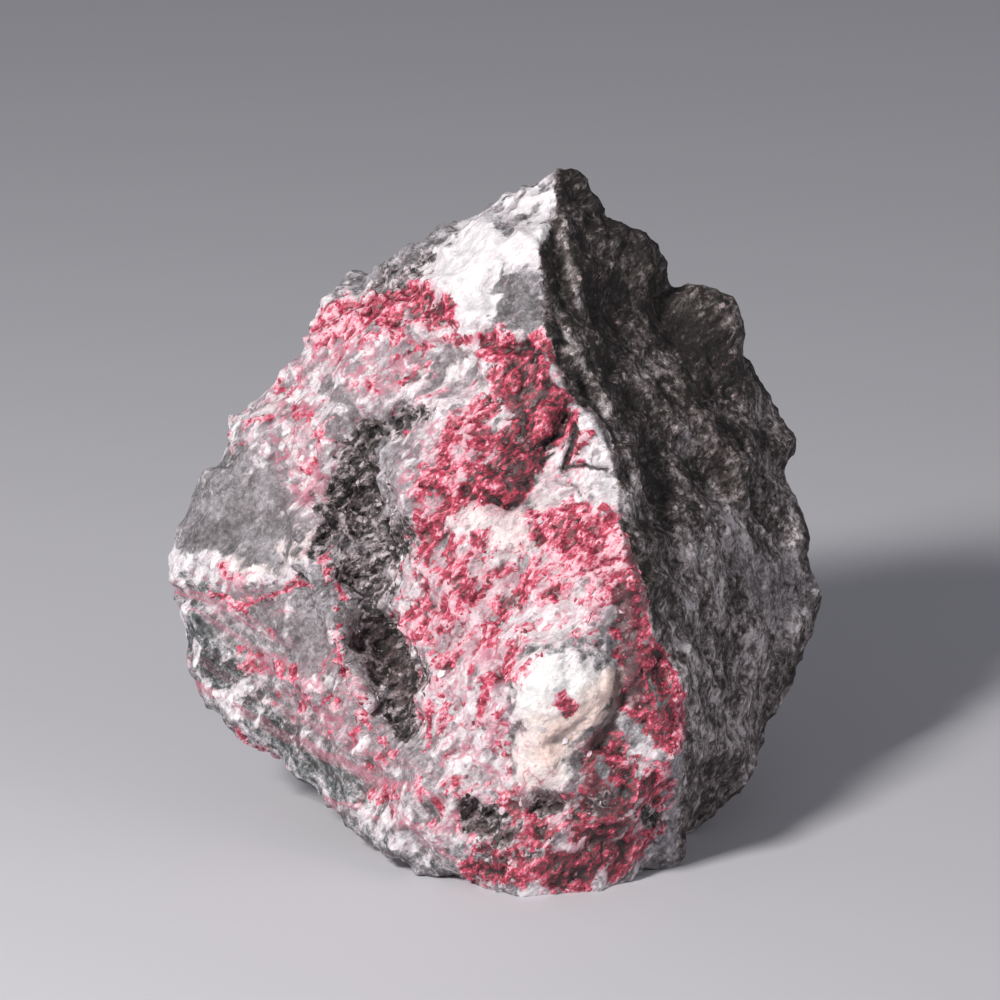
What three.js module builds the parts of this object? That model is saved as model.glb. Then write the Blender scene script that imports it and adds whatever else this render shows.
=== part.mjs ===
// Rough cinnabar: one hand-sized lump of broken ore, about 100 mm across. Dark grey carbonate rock carries a
// thick pale crust on its front, full of red cinnabar, and a sharp crest divides that crust from a hollow,
// darker break on its right. It formed as one piece, so it is one solid, which rests on a flat break below.
//
// Units are millimetres, +Z is up, and +Y runs from the crusted front to the back.
import * as THREE from "three";
import { ConvexGeometry } from "three/addons/geometries/ConvexGeometry.js";
import { ImprovedNoise } from "three/addons/math/ImprovedNoise.js";

// ---- Driving dimensions ---------------------------------------------------------------------------------

const LEAN_DEG = 18; // the face-on tables below are laid out on a plane that leans back by this much
const HEART = new THREE.Vector3(1, 52, 44); // inside the lump: every part of the skin can be seen from here

const FINE_EDGE = 3.9; // longest mesh edge on the crusted front
const COARSE_EDGE = 5.4; // longest mesh edge on the back and the underside
const ROW_STEP = 3.8; // spacing of the corners along a row
const FRONT_DEPTH = 50; // how far back the crusted front reaches
const SPLIT_PASSES = 9; // rounds of edge splitting, enough to reach the fine edge
const SOFTEN = { passes: 2, crest: 0.05, front: 0.3, back: 0.15 }; // how much facet edges are rounded where
const CREST_WIDTH = 1.5; // half width of the strip along the crest that stays sharp

// Rows of corners that facets follow, seen face on: [right of the middle, up the leaning plane, back].
const RIM = [
  [9.9, 112.6, 24], [12.6, 110.9, 25], [15.5, 106.4, 27], [18, 103.2, 28], [22.3, 102.6, 31], [25.8, 100, 33],
  [26.4, 96.7, 34], [25.6, 94.6, 34], [29, 94.8, 36], [33.5, 94.4, 37], [37, 91, 38], [38.8, 85.5, 39],
  [42, 75.8, 41], [45.8, 68.4, 42], [48, 60.9, 43], [49.6, 55.6, 42], [49.2, 50.4, 42], [50.8, 45.2, 41],
  [49.9, 40.7, 40], [46.1, 28.8, 38], [42.6, 21.3, 36], [40.2, 16.9, 33], [33.7, 12.2, 25], [29, 7.7, 17],
  [20, 3.2, 8], [12.6, 1, 3.5], [4, 0.2, 1], [-2.3, 1.2, 3], [-8.3, 4, 6], [-18.8, 8.4, 13],
  [-25.5, 13.5, 18], [-31.5, 18, 22], [-39.9, 25.4, 28], [-47.3, 36, 31], [-48.8, 46.7, 32],
  [-49.8, 51.6, 33], [-46.9, 60.3, 33], [-40.8, 67.9, 33], [-37.6, 73, 32], [-30.2, 82.8, 31],
  [-24.9, 88.1, 31], [-18.5, 93.6, 32], [-15.1, 97.6, 33], [-11.3, 98.2, 32], [-9.6, 96.8, 28],
  [-2.4, 103.7, 27], [5.1, 109.7, 25],
];
const CREST = [
  [9.4, 103.8, 19], [7.4, 100, 16.5], [7.1, 96.7, 15], [7.8, 92.2, 13], [8.5, 87.8, 11.5], [9.6, 81.8, 9.5],
  [11.4, 77.3, 8.5], [13.4, 74, 7.5], [17, 72.4, 7.5], [18.6, 68.4, 6], [20, 60.9, 3.5], [22.3, 51.9, 1.5],
  [24.1, 46, 0.5], [24.5, 39.3, 0], [27.2, 35.5, 1.5], [29.4, 29.6, 3], [29.7, 20.6, 6], [28.3, 13.2, 10],
];
const RIB = [
  [11, 105.7, 22.5], [12.6, 98, 20], [13.6, 90, 17.5], [14.5, 82, 14.5], [18.9, 74, 12.5], [21.6, 65.4, 9.5],
];
const SCAR_LIP = [
  [25, 81, 26], [29, 77.3, 25.5], [34, 71.4, 27.5], [38.2, 65.4, 29.5], [39, 60.9, 29.5], [35, 57.5, 22.5],
  [30, 55.5, 16],
];
const CRUST_EDGE = [
  [-9, 76, 13.5], [-12, 71, 12.5], [-16, 65.5, 12.5], [-16, 60, 11.5], [-12.8, 54, 9], [-13.6, 48, 8.5],
  [-12, 40, 7], [-9.8, 32, 5.5], [-10.5, 25, 6.5],
];
const TRENCH_RIGHT = [
  [-12.5, 74.5, 18.5], [-17.8, 67, 20.5], [-18.4, 60, 20], [-15.4, 54, 18.5], [-15.8, 48, 17.5],
  [-14.4, 40, 15.5], [-12.4, 32, 12.5], [-12.8, 26.5, 10.5],
];
const TRENCH_LEFT = [
  [-15.5, 73.5, 19.5], [-20.5, 67, 21.5], [-24, 58, 22], [-24.6, 50, 21.5], [-21, 40, 18.5],
  [-17.8, 32, 15.5], [-15, 26.5, 11.8],
];
const FLANK_EDGE = [
  [-15.5, 77.5, 17], [-22.5, 70.5, 18], [-28.5, 60, 18.5], [-29.4, 50.5, 17.5], [-25.4, 39, 14.5],
  [-21.6, 30, 11.5], [-16.5, 22.5, 9.5],
];
const FLANK_SEAM = [[-44, 51.5, 28], [-38, 51.5, 23.5], [-33, 53, 20.5]];

// Loose corners on the front, seen face on.
const CRUST = [
  [-5, 95, 18.5], [-15, 88, 20.5], [-6, 84, 14.5], [3, 88, 13.5], [1, 78, 10], [8, 66, 6], [-5, 65, 8],
  [-5, 54, 5.5], [-6, 43, 3.5], [2, 56, 3.5], [12, 54, 2], [3, 44, 0.5], [13, 42, -2], [8, 34, -5],
  [5, 26, -3], [-3, 31, 0.5], [-4, 19, 2], [6, 14, -1], [16, 24, -1.5], [16, 12, 1.5], [-12, 15, 6],
  [4, 6, 0], [20, 33, -2.5], [24, 19, 2.5], [22, 8, 7],
];
const LEFT_FLANK = [
  [-22, 80, 21.5], [-31, 74, 25], [-38, 64, 27.5], [-39, 57, 25.5], [-38, 44, 23], [-32, 35, 18.5],
  [-24, 22, 13.5], [-43, 44, 28],
];
const DARK_BREAK = [
  [19, 96, 28], [20, 88, 26], [27, 90, 33], [33, 84, 36], [36, 76, 36], [24, 72, 19], [29, 67, 24],
  [25, 61, 14.5], [32, 62, 25], [43, 60, 37], [27, 50, 12], [34, 48, 21.5], [42, 46, 32], [30, 40, 14.5],
  [37, 36, 24], [43, 33, 34], [34, 26, 17], [39, 22, 26], [33, 16, 20],
];

// Corners of the back and the underside, upright: [right, back, up].
const BACK = [
  [-45, 60, 40], [-38, 64, 24], [-36, 70, 52], [-20, 74, 72], [0, 71, 86], [15, 72, 88], [30, 76, 70],
  [42, 72, 50], [44, 68, 30], [36, 64, 13], [22, 83, 30], [10, 87, 52], [-5, 83, 66], [-18, 87, 42],
  [-30, 76, 22], [-4, 85, 18], [12, 76, 8],
];
const UNDERSIDE = [
  [32, 38, 4], [-24, 36, 8], [-26, 52, 7], [-14, 70, 6], [-14, 17, 4.5], [20, 14, 2],
];
const FOOT = [
  [8, 8, -1.6], [18, 19, -1.6], [25, 33, -1.6], [23, 50, -1.6], [10, 61, -1.6], [-6, 61, -1.6],
  [-16, 49, -1.6], [-15, 33, -1.6], [-8, 18, -1.6], [0, 7, -1.6], [5, 34, -1.6],
];

// Small hollows, ribs and steps on the front: a line of [right, up the leaning plane] points, the half width
// of the form and how far it stands out, which is negative for a hollow.
const LINES = [
  { name: "groove beside the crest", half: 3, out: -1.4, line: [[10, 98], [10.5, 90], [12.5, 81], [17, 74]] },
  { name: "lower flank step", half: 3, out: -1.2, line: [[-40, 42], [-32, 32], [-22, 20], [-14, 12]] },
  { name: "crack in the pale crust", half: 1.8, out: -1.2, line: [[12, 76], [11, 70], [14, 64]] },
  { name: "seam in the upper crust", half: 3, out: -1.2, line: [[-20, 79], [-12, 81], [-4, 80], [3, 74]] },
];

// Round lumps and pits: [right, up the leaning plane, radius, how far it stands out].
const LUMPS = [
  { name: "calcite knob", spots: [[7, 36, 8, 3.2], [3.5, 27, 6, 2], [13, 33, 5, 1.2]] },
  { name: "crust swellings", spots: [[4, 70, 7, 1.4], [-6, 58, 6, 1.2], [-7, 46, 6, 1.4], [15, 51, 7, 1.2]] },
  { name: "lower swellings", spots: [[17, 19, 6, 1.8], [-4, 12, 6, 1.6], [10, 8, 4, 1.2], [25, 25, 5, 1.2]] },
  { name: "upper pale swellings", spots: [[-6, 93, 9, 1.4], [-20, 84, 8, 1.6], [0, 101, 6, 1]] },
  { name: "lobes of the dark break", spots: [[23, 98, 6, 1.8], [34, 89, 8, 2.4], [30, 82, 6, 1.2]] },
  { name: "dark stub on the rim", spots: [[-14, 97, 5, 1.4]] },
  { name: "upper pits", spots: [[3, 91, 4, -1.4], [-4, 74, 6, -1.6]] },
  { name: "lower pits", spots: [[1, 41, 5, -1.4], [6, 58, 5, -1.2], [-7, 22, 5, -1.2]] },
];

// Break texture of the whole skin.
const ROLL = { size: 30, out: 1.4, layers: 2 }; // broad swells
const ROUGH = { size: 8, out: 0.7, layers: 2 }; // hackly break
const CHIPS = { size: 13, out: 1.5, blend: 0.12 }; // flat chips that meet in steps
const SLABS = { size: 27, out: 4.6, blend: 0.08 }; // broad flakes broken off the back
const TILT = 1.6; // how steeply a chip may lie, as height across one cell
const NOISE_SHIFT = new THREE.Vector3(31, 17, -9); // keeps the layers of noise apart

// ---- Small helpers --------------------------------------------------------------------------------------

const lean = THREE.MathUtils.degToRad(LEAN_DEG);
const faceUp = new THREE.Vector3(0, Math.sin(lean), Math.cos(lean));
const faceIn = new THREE.Vector3(0, Math.cos(lean), -Math.sin(lean));
const perlin = new ImprovedNoise();

// The corners of a row with more between them, so that facets follow the row.
function filledRow(row) {
  const filled = [row[0]];
  for (let i = 1; i < row.length; i++) {
    const [start, end] = [row[i - 1], row[i]];
    const length = Math.hypot(...start.map((value, axis) => end[axis] - value));
    const steps = Math.max(1, Math.round(length / ROW_STEP));
    for (let step = 1; step <= steps; step++) {
      filled.push(start.map((value, axis) => THREE.MathUtils.lerp(value, end[axis], step / steps)));
    }
  }
  return filled;
}

// A face-on corner as an upright point.
function fromFace([right, up, back]) {
  return new THREE.Vector3(right, 0, 0).addScaledVector(faceUp, up).addScaledVector(faceIn, back);
}

// An upright point seen face on.
function toFace(point) {
  return { right: point.x, up: point.dot(faceUp), back: point.dot(faceIn) };
}

// Layered noise from about -1 to 1, where each layer is half as strong and about half as large as the last.
function fractal(point, size, layers) {
  let sum = 0;
  let gain = 1;
  let scale = 1 / size;
  for (let layer = 0; layer < layers; layer++) {
    const at = point.clone().multiplyScalar(scale).addScaledVector(NOISE_SHIFT, layer + 1);
    sum += gain * perlin.noise(at.x, at.y, at.z);
    gain *= 0.5;
    scale *= 2.1;
  }
  return sum;
}

// A repeatable number from 0 to 1 for a whole-numbered cell.
function cellNumber(x, y, z, salt) {
  const wave = Math.sin(x * 127.1 + y * 311.7 + z * 74.7 + salt * 53.9) * 43758.5453;
  return wave - Math.floor(wave);
}

// Flat chips: each cell of a jittered grid is a small tilted plane, and planes blend where two cells meet.
function chips(point, size, blend) {
  const home = point.clone().divideScalar(size);
  const base = home.clone().floor();
  const found = [];
  for (let x = -1; x <= 1; x++) {
    for (let y = -1; y <= 1; y++) {
      for (let z = -1; z <= 1; z++) {
        const cell = [base.x + x, base.y + y, base.z + z];
        const centre = new THREE.Vector3(...cell.map((c, axis) => c + cellNumber(...cell, axis + 1)));
        const tilt = new THREE.Vector3(...[4, 5, 6].map((salt) => cellNumber(...cell, salt) - 0.5));
        const offset = home.clone().sub(centre);
        const height = TILT * offset.dot(tilt) + cellNumber(...cell, 7) - 0.5;
        found.push({ distance: offset.length(), height });
      }
    }
  }
  found.sort((a, b) => a.distance - b.distance);
  const [first, second] = found;
  const share = 0.5 + 0.5 * THREE.MathUtils.smoothstep(second.distance - first.distance, 0, blend);
  return share * first.height + (1 - share) * second.height;
}

// Shortest distance from a face-on point to a line of face-on points.
function distanceToLine(right, up, line) {
  const here = new THREE.Vector3(right, up, 0);
  const nearest = new THREE.Vector3();
  let shortest = Infinity;
  for (let i = 0; i + 1 < line.length; i++) {
    const piece = new THREE.Line3(new THREE.Vector3(...line[i], 0), new THREE.Vector3(...line[i + 1], 0));
    piece.closestPointToPoint(here, true, nearest);
    shortest = Math.min(shortest, nearest.distanceTo(here));
  }
  return shortest;
}

// A round-shouldered bump: 1 at the middle and 0 from `reach` outwards.
function bump(distance, reach) {
  return 1 - THREE.MathUtils.smoothstep(distance, 0, reach);
}

// ---- The lump -------------------------------------------------------------------------------------------

// Joins the corners into one closed skin of flat facets round the heart.
function facetTriangles(corners) {
  const aims = corners.map((corner) => corner.clone().sub(HEART).normalize());
  const ball = new ConvexGeometry(aims).getAttribute("position");
  const cornerAt = (i) => {
    const way = new THREE.Vector3().fromBufferAttribute(ball, i);
    return aims.findIndex((aim) => aim.distanceToSquared(way) < 1e-9);
  };
  return Array.from({ length: ball.count / 3 }, (_, face) => [0, 1, 2].map((k) => cornerAt(3 * face + k)));
}

// Longest edge allowed at a point: short on the crusted front, long behind.
function edgeLimit(point) {
  return THREE.MathUtils.lerp(COARSE_EDGE, FINE_EDGE, frontness(toFace(point).back));
}

// Splits each long edge at its middle, in both triangles that share it, until none is left.
function splitLongEdges(points, triangles) {
  for (let pass = 0; pass < SPLIT_PASSES; pass++) {
    const middles = new Map();
    const middleOf = (a, b) => {
      const key = a < b ? `${a}_${b}` : `${b}_${a}`;
      if (!middles.has(key)) {
        const middle = points[a].clone().lerp(points[b], 0.5);
        const isLong = points[a].distanceTo(points[b]) > edgeLimit(middle);
        middles.set(key, isLong ? points.push(middle) - 1 : -1);
      }
      return middles.get(key);
    };
    const pieces = [];
    for (const triangle of triangles) {
      // Turn the triangle so that its longest edge comes first, which keeps the pieces well shaped.
      const lengths = [0, 1, 2].map((k) => points[triangle[k]].distanceTo(points[triangle[(k + 1) % 3]]));
      const turn = lengths.indexOf(Math.max(...lengths));
      const [a, b, c] = [0, 1, 2].map((k) => triangle[(k + turn) % 3]);
      const ab = middleOf(a, b);
      const bc = middleOf(b, c);
      const ca = middleOf(c, a);
      if (ab >= 0) {
        pieces.push(...(bc >= 0 ? [[ab, b, bc], [ab, bc, c]] : [[ab, b, c]]));
        pieces.push(...(ca >= 0 ? [[a, ab, ca], [ca, ab, c]] : [[a, ab, c]]));
      } else if (bc >= 0) {
        pieces.push([a, b, bc], ...(ca >= 0 ? [[a, bc, ca], [bc, c, ca]] : [[a, bc, c]]));
      } else {
        pieces.push(...(ca >= 0 ? [[a, b, ca], [ca, b, c]] : [[a, b, c]]));
      }
    }
    const isDone = pieces.length === triangles.length;
    triangles = pieces;
    if (isDone) break;
  }
  return triangles;
}

// Moves each point towards the mean of its neighbours, by the share that its place gives.
function soften(points, triangles, shareAt) {
  const neighbours = points.map(() => new Set());
  for (const [a, b, c] of triangles) {
    neighbours[a].add(b).add(c);
    neighbours[b].add(c).add(a);
    neighbours[c].add(a).add(b);
  }
  for (let pass = 0; pass < SOFTEN.passes; pass++) {
    const means = neighbours.map((around) => {
      const sum = new THREE.Vector3();
      for (const i of around) sum.add(points[i]);
      return sum.divideScalar(around.size);
    });
    points.forEach((point, i) => point.lerp(means[i], shareAt(point)));
  }
}

// How much of the front, from 1 to 0, a face-on depth belongs to.
function frontness(back) {
  return 1 - THREE.MathUtils.smoothstep(back, FRONT_DEPTH - 16, FRONT_DEPTH);
}

// How far the skin stands out at a point: hollows, ribs and lumps of the front, and the break texture.
function relief(point) {
  const { right, up, back } = toFace(point);
  let front = 0;
  for (const { line, half, out } of LINES) front += out * bump(distanceToLine(right, up, line), half);
  for (const { spots } of LUMPS) {
    for (const [x, y, radius, out] of spots) front += out * bump(Math.hypot(right - x, up - y), radius);
  }
  const facing = frontness(back);
  return (
    facing * front +
    (1 - facing) * SLABS.out * chips(point, SLABS.size, SLABS.blend) +
    ROLL.out * fractal(point, ROLL.size, ROLL.layers) +
    ROUGH.out * fractal(point, ROUGH.size, ROUGH.layers) +
    CHIPS.out * chips(point, CHIPS.size, CHIPS.blend)
  );
}

// Moves a point along its line from the heart, and stops it at the flat that the lump rests on.
function weather(point) {
  const way = point.clone().sub(HEART);
  const reach = way.length() + relief(point);
  way.normalize();
  const floor = way.z < 0 ? -HEART.z / way.z : Infinity;
  const moved = HEART.clone().addScaledVector(way, Math.min(reach, floor));
  if (reach >= floor) moved.z = 0;
  return moved;
}

function rockGeometry() {
  const rows = [RIM, CREST, RIB, SCAR_LIP, CRUST_EDGE, TRENCH_RIGHT, TRENCH_LEFT, FLANK_EDGE, FLANK_SEAM];
  const front = [...rows.flatMap(filledRow), ...CRUST, ...LEFT_FLANK, ...DARK_BREAK];
  const behind = [...BACK, ...UNDERSIDE, ...FOOT].map((corner) => new THREE.Vector3(...corner));
  const points = [...front.map(fromFace), ...behind];
  const triangles = splitLongEdges(points, facetTriangles(points));
  const crestRun = CREST.map(([right, up]) => [right, up]);
  soften(points, triangles, (point) => {
    const { right, up, back } = toFace(point);
    if (distanceToLine(right, up, crestRun) < CREST_WIDTH && back < FRONT_DEPTH) return SOFTEN.crest;
    return THREE.MathUtils.lerp(SOFTEN.back, SOFTEN.front, frontness(back));
  });

  const geometry = new THREE.BufferGeometry().setFromPoints(points.map(weather));
  geometry.setIndex(triangles.flat());
  geometry.computeBoundingBox();
  const middle = geometry.boundingBox.getCenter(new THREE.Vector3());
  geometry.translate(-middle.x, -middle.y, 0);
  geometry.computeVertexNormals();
  return geometry;
}

const stone = new THREE.MeshStandardMaterial({ color: 0x8b8588, roughness: 0.75, metalness: 0 });
const rock = new THREE.Mesh(rockGeometry(), stone);
rock.name = "cinnabar_rock";

const roughCinnabar = new THREE.Group();
roughCinnabar.add(rock);

export default roughCinnabar;
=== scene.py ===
"""Dresses a hand-sized lump of rough cinnabar ore and sets it on a pale studio floor.

The lump is one piece. Dark grey carbonate rock carries a thick pale crust of calcite on its front, full of
crimson cinnabar, with a sooty granular trench down its left and a sharp crest on its right, where a dark
hackly break falls away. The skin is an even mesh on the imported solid, carved with the break texture of each
mineral, and the grains that stand out of it are three joined meshes of small crystals.

Sizes are millimetres on the face-on plane where a name or a comment says so, and metres everywhere else.
"""
import itertools
import logging
import math
from collections.abc import Iterator
from dataclasses import dataclass, field
from enum import Enum

import bmesh
import bpy
import numpy as np
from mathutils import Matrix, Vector


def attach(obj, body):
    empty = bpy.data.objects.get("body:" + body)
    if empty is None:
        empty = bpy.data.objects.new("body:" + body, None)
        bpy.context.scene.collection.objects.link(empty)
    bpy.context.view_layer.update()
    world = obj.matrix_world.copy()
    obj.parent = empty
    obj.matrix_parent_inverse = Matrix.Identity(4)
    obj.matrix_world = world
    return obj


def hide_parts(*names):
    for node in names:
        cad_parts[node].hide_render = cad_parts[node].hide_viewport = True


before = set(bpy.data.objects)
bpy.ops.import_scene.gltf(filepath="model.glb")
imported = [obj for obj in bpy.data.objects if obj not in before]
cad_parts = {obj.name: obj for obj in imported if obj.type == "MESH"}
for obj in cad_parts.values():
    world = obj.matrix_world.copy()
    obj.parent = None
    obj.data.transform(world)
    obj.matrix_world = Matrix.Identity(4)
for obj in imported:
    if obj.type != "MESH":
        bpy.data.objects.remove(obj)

LOG = logging.getLogger("rough_cinnabar")

MM = 0.001
NODE = "cinnabar_rock"
BODY = "root"
TINY = 1e-12

Points = np.ndarray
Line = tuple[tuple[float, float], ...]
Band = tuple[float, float]
Axis = tuple[float, float, float]
Colour = tuple[float, float, float]
Stops = tuple[tuple[float, Colour], ...]


# ---- Noise and distances on arrays of points -----------------------------------------------------------------


def eased(value: Points, low: float, high: float) -> Points:
    """Rises smoothly from 0 at low to 1 at high."""
    share = np.clip((value - low) / (high - low), 0.0, 1.0)
    return share * share * (3.0 - 2.0 * share)


def lengths(vectors: Points) -> Points:
    """The length of each row."""
    return np.sqrt((vectors * vectors).sum(axis=1))


def unit(vectors: Points) -> Points:
    """Each row brought to length one."""
    return vectors / np.maximum(lengths(vectors), TINY)[:, None]


@dataclass
class Facets:
    """The nearest cell of a jittered grid, for each point: a tilted plane with numbers of its own."""

    plane: Points
    own: Points
    other: Points
    label: Points

    EVEN_CELL = (0.84, 0.94)
    AGREED_POINT = (0.7, 0.92)

    def rise(self, tilt: Points, step: Points) -> Points:
        """Height of the planes.

        Args:
            tilt: how steeply they lie.
            step: how far their middles differ.

        Returns:
            Millimetres at each point.
        """
        return tilt * self.plane + step * (self.own - 0.5)

    def flattened(self, points: Points, normals: Points, share: Points, reach: float) -> Points:
        """Brings the points of each cell towards one plane, which gives flat faces with crisp edges.

        Args:
            points: rows of x, y, z in millimetres.
            normals: the skin's broad directions.
            share: how far each point moves towards its plane.
            reach: the furthest a point may move.

        Returns:
            The moved points. A cell that lies over a crest stays as it is.
        """
        count = np.bincount(self.label)[:, None]
        middle, lean = (
            np.column_stack([np.bincount(self.label, column) for column in rows.T]) / count
            for rows in (points, normals)
        )
        even = eased(lengths(lean), *self.EVEN_CELL)[self.label]
        lean = unit(lean)[self.label]
        off = ((points - middle[self.label]) * lean).sum(axis=1)
        agreed = eased((normals * lean).sum(axis=1), *self.AGREED_POINT)
        return points - (share * even * agreed * reach * np.tanh(off / reach))[:, None] * lean


class Noise:
    """Repeatable noise in space, on rows of points in millimetres."""

    CELLS = 256
    NUMBERS = 5
    GAIN = 1.6
    FADE = 0.5
    SHRINK = 2.1
    LAYER_SHIFT = 37.0
    AXIS_SHIFT = 53.0
    WARP_LAYERS = 2
    DISH_STEP = 0.45
    DISH_LEAN = 0.6
    DISH_BOWL = 0.75
    DISH_MIDDLE = 0.2
    LABEL_SHIFT = 512
    LABEL_STRIDES = (1, 1024, 1024 * 1024)

    def __init__(self, seed: int) -> None:
        """Draws the tables that the seed picks."""
        rng = np.random.default_rng(seed)
        self._order = rng.permutation(self.CELLS)
        self._slopes = unit(rng.normal(size=(self.CELLS, 3)))
        self._spots = rng.random((self.CELLS, self.NUMBERS))

    def _keys(self, cells: Points) -> Points:
        """A table row for each whole-numbered cell."""
        last = self.CELLS - 1
        key = self._order[cells[:, 0] & last]
        key = self._order[(key + cells[:, 1]) & last]
        return self._order[(key + cells[:, 2]) & last]

    def _around(self, at: Points) -> Iterator[tuple[Points, Points, Points]]:
        """The 27 cells round each point.

        Args:
            at: rows of x, y, z, in cells.

        Yields:
            The cells, their table rows, and how far the points lie from their spots.
        """
        home = np.floor(at).astype(int)
        for step in itertools.product((-1, 0, 1), repeat=3):
            cell = home + np.array(step)
            keys = self._keys(cell)
            yield cell, keys, at - cell - self._spots[keys, :3]

    def smooth(self, points: Points, size: float) -> Points:
        """Gradient noise.

        Args:
            points: rows of x, y, z.
            size: distance between swells.

        Returns:
            One value for each point, from about -1 to 1.
        """
        at = points / size
        home = np.floor(at).astype(int)
        part = at - home
        ease = part**3 * (part * (6.0 * part - 15.0) + 10.0)
        total = np.zeros(len(points))
        for corner in itertools.product((0, 1), repeat=3):
            step = np.array(corner)
            slope = self._slopes[self._keys(home + step)]
            weight = np.where(step == 1, ease, 1.0 - ease).prod(axis=1)
            total += weight * ((part - step) * slope).sum(axis=1)
        return self.GAIN * total

    def layered(self, points: Points, size: float, layers: int) -> Points:
        """Gradient noise in layers, each half as strong and half as large as the last.

        Args:
            points: rows of x, y, z.
            size: distance between the broadest swells.
            layers: how many layers.

        Returns:
            One value for each point, from about -1.5 to 1.5.
        """
        total = np.zeros(len(points))
        for layer in range(layers):
            shifted = points + self.LAYER_SHIFT * layer
            total += self.FADE**layer * self.smooth(shifted, size / self.SHRINK**layer)
        return total

    def warped(self, points: Points, size: float, reach: float) -> Points:
        """Points pushed about by noise.

        Args:
            points: rows of x, y, z.
            size: distance between swells.
            reach: how far a point may move.

        Returns:
            The moved points.
        """
        pushes = [self.layered(points + self.AXIS_SHIFT * axis, size, self.WARP_LAYERS) for axis in range(1, 4)]
        return points + reach * np.column_stack(pushes)

    def scoops(self, points: Points, size: float) -> Points:
        """Shallow leaning dishes that meet in crisp ridges.

        Args:
            points: rows of x, y, z.
            size: width of a dish.

        Returns:
            Height at each point, from about -0.3 to 0.4 of the size.
        """
        lowest = np.full(len(points), np.inf)
        for _, keys, offset in self._around(points / size):
            lean = (offset * self._slopes[keys]).sum(axis=1)
            bowl = (offset * offset).sum(axis=1)
            rise = self.DISH_STEP * self._spots[keys, 3] + self.DISH_LEAN * lean + self.DISH_BOWL * bowl
            lowest = np.minimum(lowest, rise)
        return size * (lowest - self.DISH_MIDDLE)

    def facets(self, points: Points, size: float) -> Facets:
        """Angular break: each cell is a small tilted plane.

        Args:
            points: rows of x, y, z.
            size: width of a cell.

        Returns:
            The cell of each point.
        """
        nearest = np.full(len(points), np.inf)
        plane = np.zeros(len(points))
        chosen = np.zeros(len(points), dtype=int)
        label = np.zeros(len(points), dtype=int)
        strides = np.array(self.LABEL_STRIDES)
        for cell, keys, offset in self._around(points / size):
            distance = lengths(offset)
            closer = distance < nearest
            plane = np.where(closer, (offset * self._slopes[keys]).sum(axis=1), plane)
            chosen = np.where(closer, keys, chosen)
            label = np.where(closer, (cell + self.LABEL_SHIFT) @ strides, label)
            nearest = np.where(closer, distance, nearest)
        label = np.unique(label, return_inverse=True)[1]
        return Facets(size * plane, self._spots[chosen, 3], self._spots[chosen, 4], label)


def distance_to_line(at: Points, line: Line) -> Points:
    """Shortest distance from each point to a line of straight stretches.

    Args:
        at: rows of right, up.
        line: the line's corners.

    Returns:
        One distance for each point.
    """
    nearest = np.full(len(at), np.inf)
    for start, end in zip(line, line[1:]):
        first, run = np.array(start), np.array(end) - np.array(start)
        along = np.clip(((at - first) @ run) / (run @ run), 0.0, 1.0)
        nearest = np.minimum(nearest, lengths(at - first - along[:, None] * run))
    return nearest


def squeezed_along(axis: Axis, squeeze: float) -> Points:
    """A matrix for rows of points that shortens them along an axis.

    Args:
        axis: the axis.
        squeeze: the length left, as a share.

    Returns:
        The matrix.
    """
    line = np.array(Vector(axis).normalized())
    return np.eye(3) - (1.0 - squeeze) * np.outer(line, line)


GROWTH_AXIS: Axis = (0.70, 0.22, 0.68)
GROWTH_SQUEEZE = 0.5
GROWTH = squeezed_along(GROWTH_AXIS, GROWTH_SQUEEZE)


# ---- Where each mineral lies ---------------------------------------------------------------------------------


class Mineral(Enum):
    """What the skin is made of at a place. Some of these, the darker deep and murk, the cream tint and the dark
    brown, also carry painted shade.
    """

    CALCITE = "calcite"
    CINNABAR = "cinnabar"
    SOOT = "soot"
    CLAST = "clast"
    GLOOM = "gloom"
    CRACK = "crack"
    NET = "net"
    DEEP = "deep"
    MURK = "murk"
    STREAK = "streak"
    CALM = "calm"
    VIVID = "vivid"
    CREAM = "cream"
    RUST = "rust"
    SMOOTH = "smooth"


@dataclass(frozen=True)
class FaceOn:
    """The plane that the front's features are laid out on, which leans back and is seen from the camera."""

    lean: float = math.radians(18.0)
    middle_right: float = 1.01
    middle_back: float = 45.65
    eye_away: float = 1000.0
    aim_up: float = 60.2
    aim_back: float = 28.4

    def inward(self) -> Points:
        """The direction from the front into the lump."""
        return np.array([0.0, math.cos(self.lean), -math.sin(self.lean)])

    def lay_out(self, points: Points) -> Points:
        """Points of the part as places on the plane, larger where they lie nearer to the camera.

        Args:
            points: rows of x, y, z in millimetres.

        Returns:
            Rows of right and up.
        """
        deep = points[:, 1] + self.middle_back
        up = deep * math.sin(self.lean) + points[:, 2] * math.cos(self.lean)
        back = deep * math.cos(self.lean) - points[:, 2] * math.sin(self.lean)
        nearer = self.eye_away / (self.eye_away + back - self.aim_back)
        right = self.middle_right + points[:, 0] * nearer
        return np.column_stack([right, self.aim_up + (up - self.aim_up) * nearer])


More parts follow.
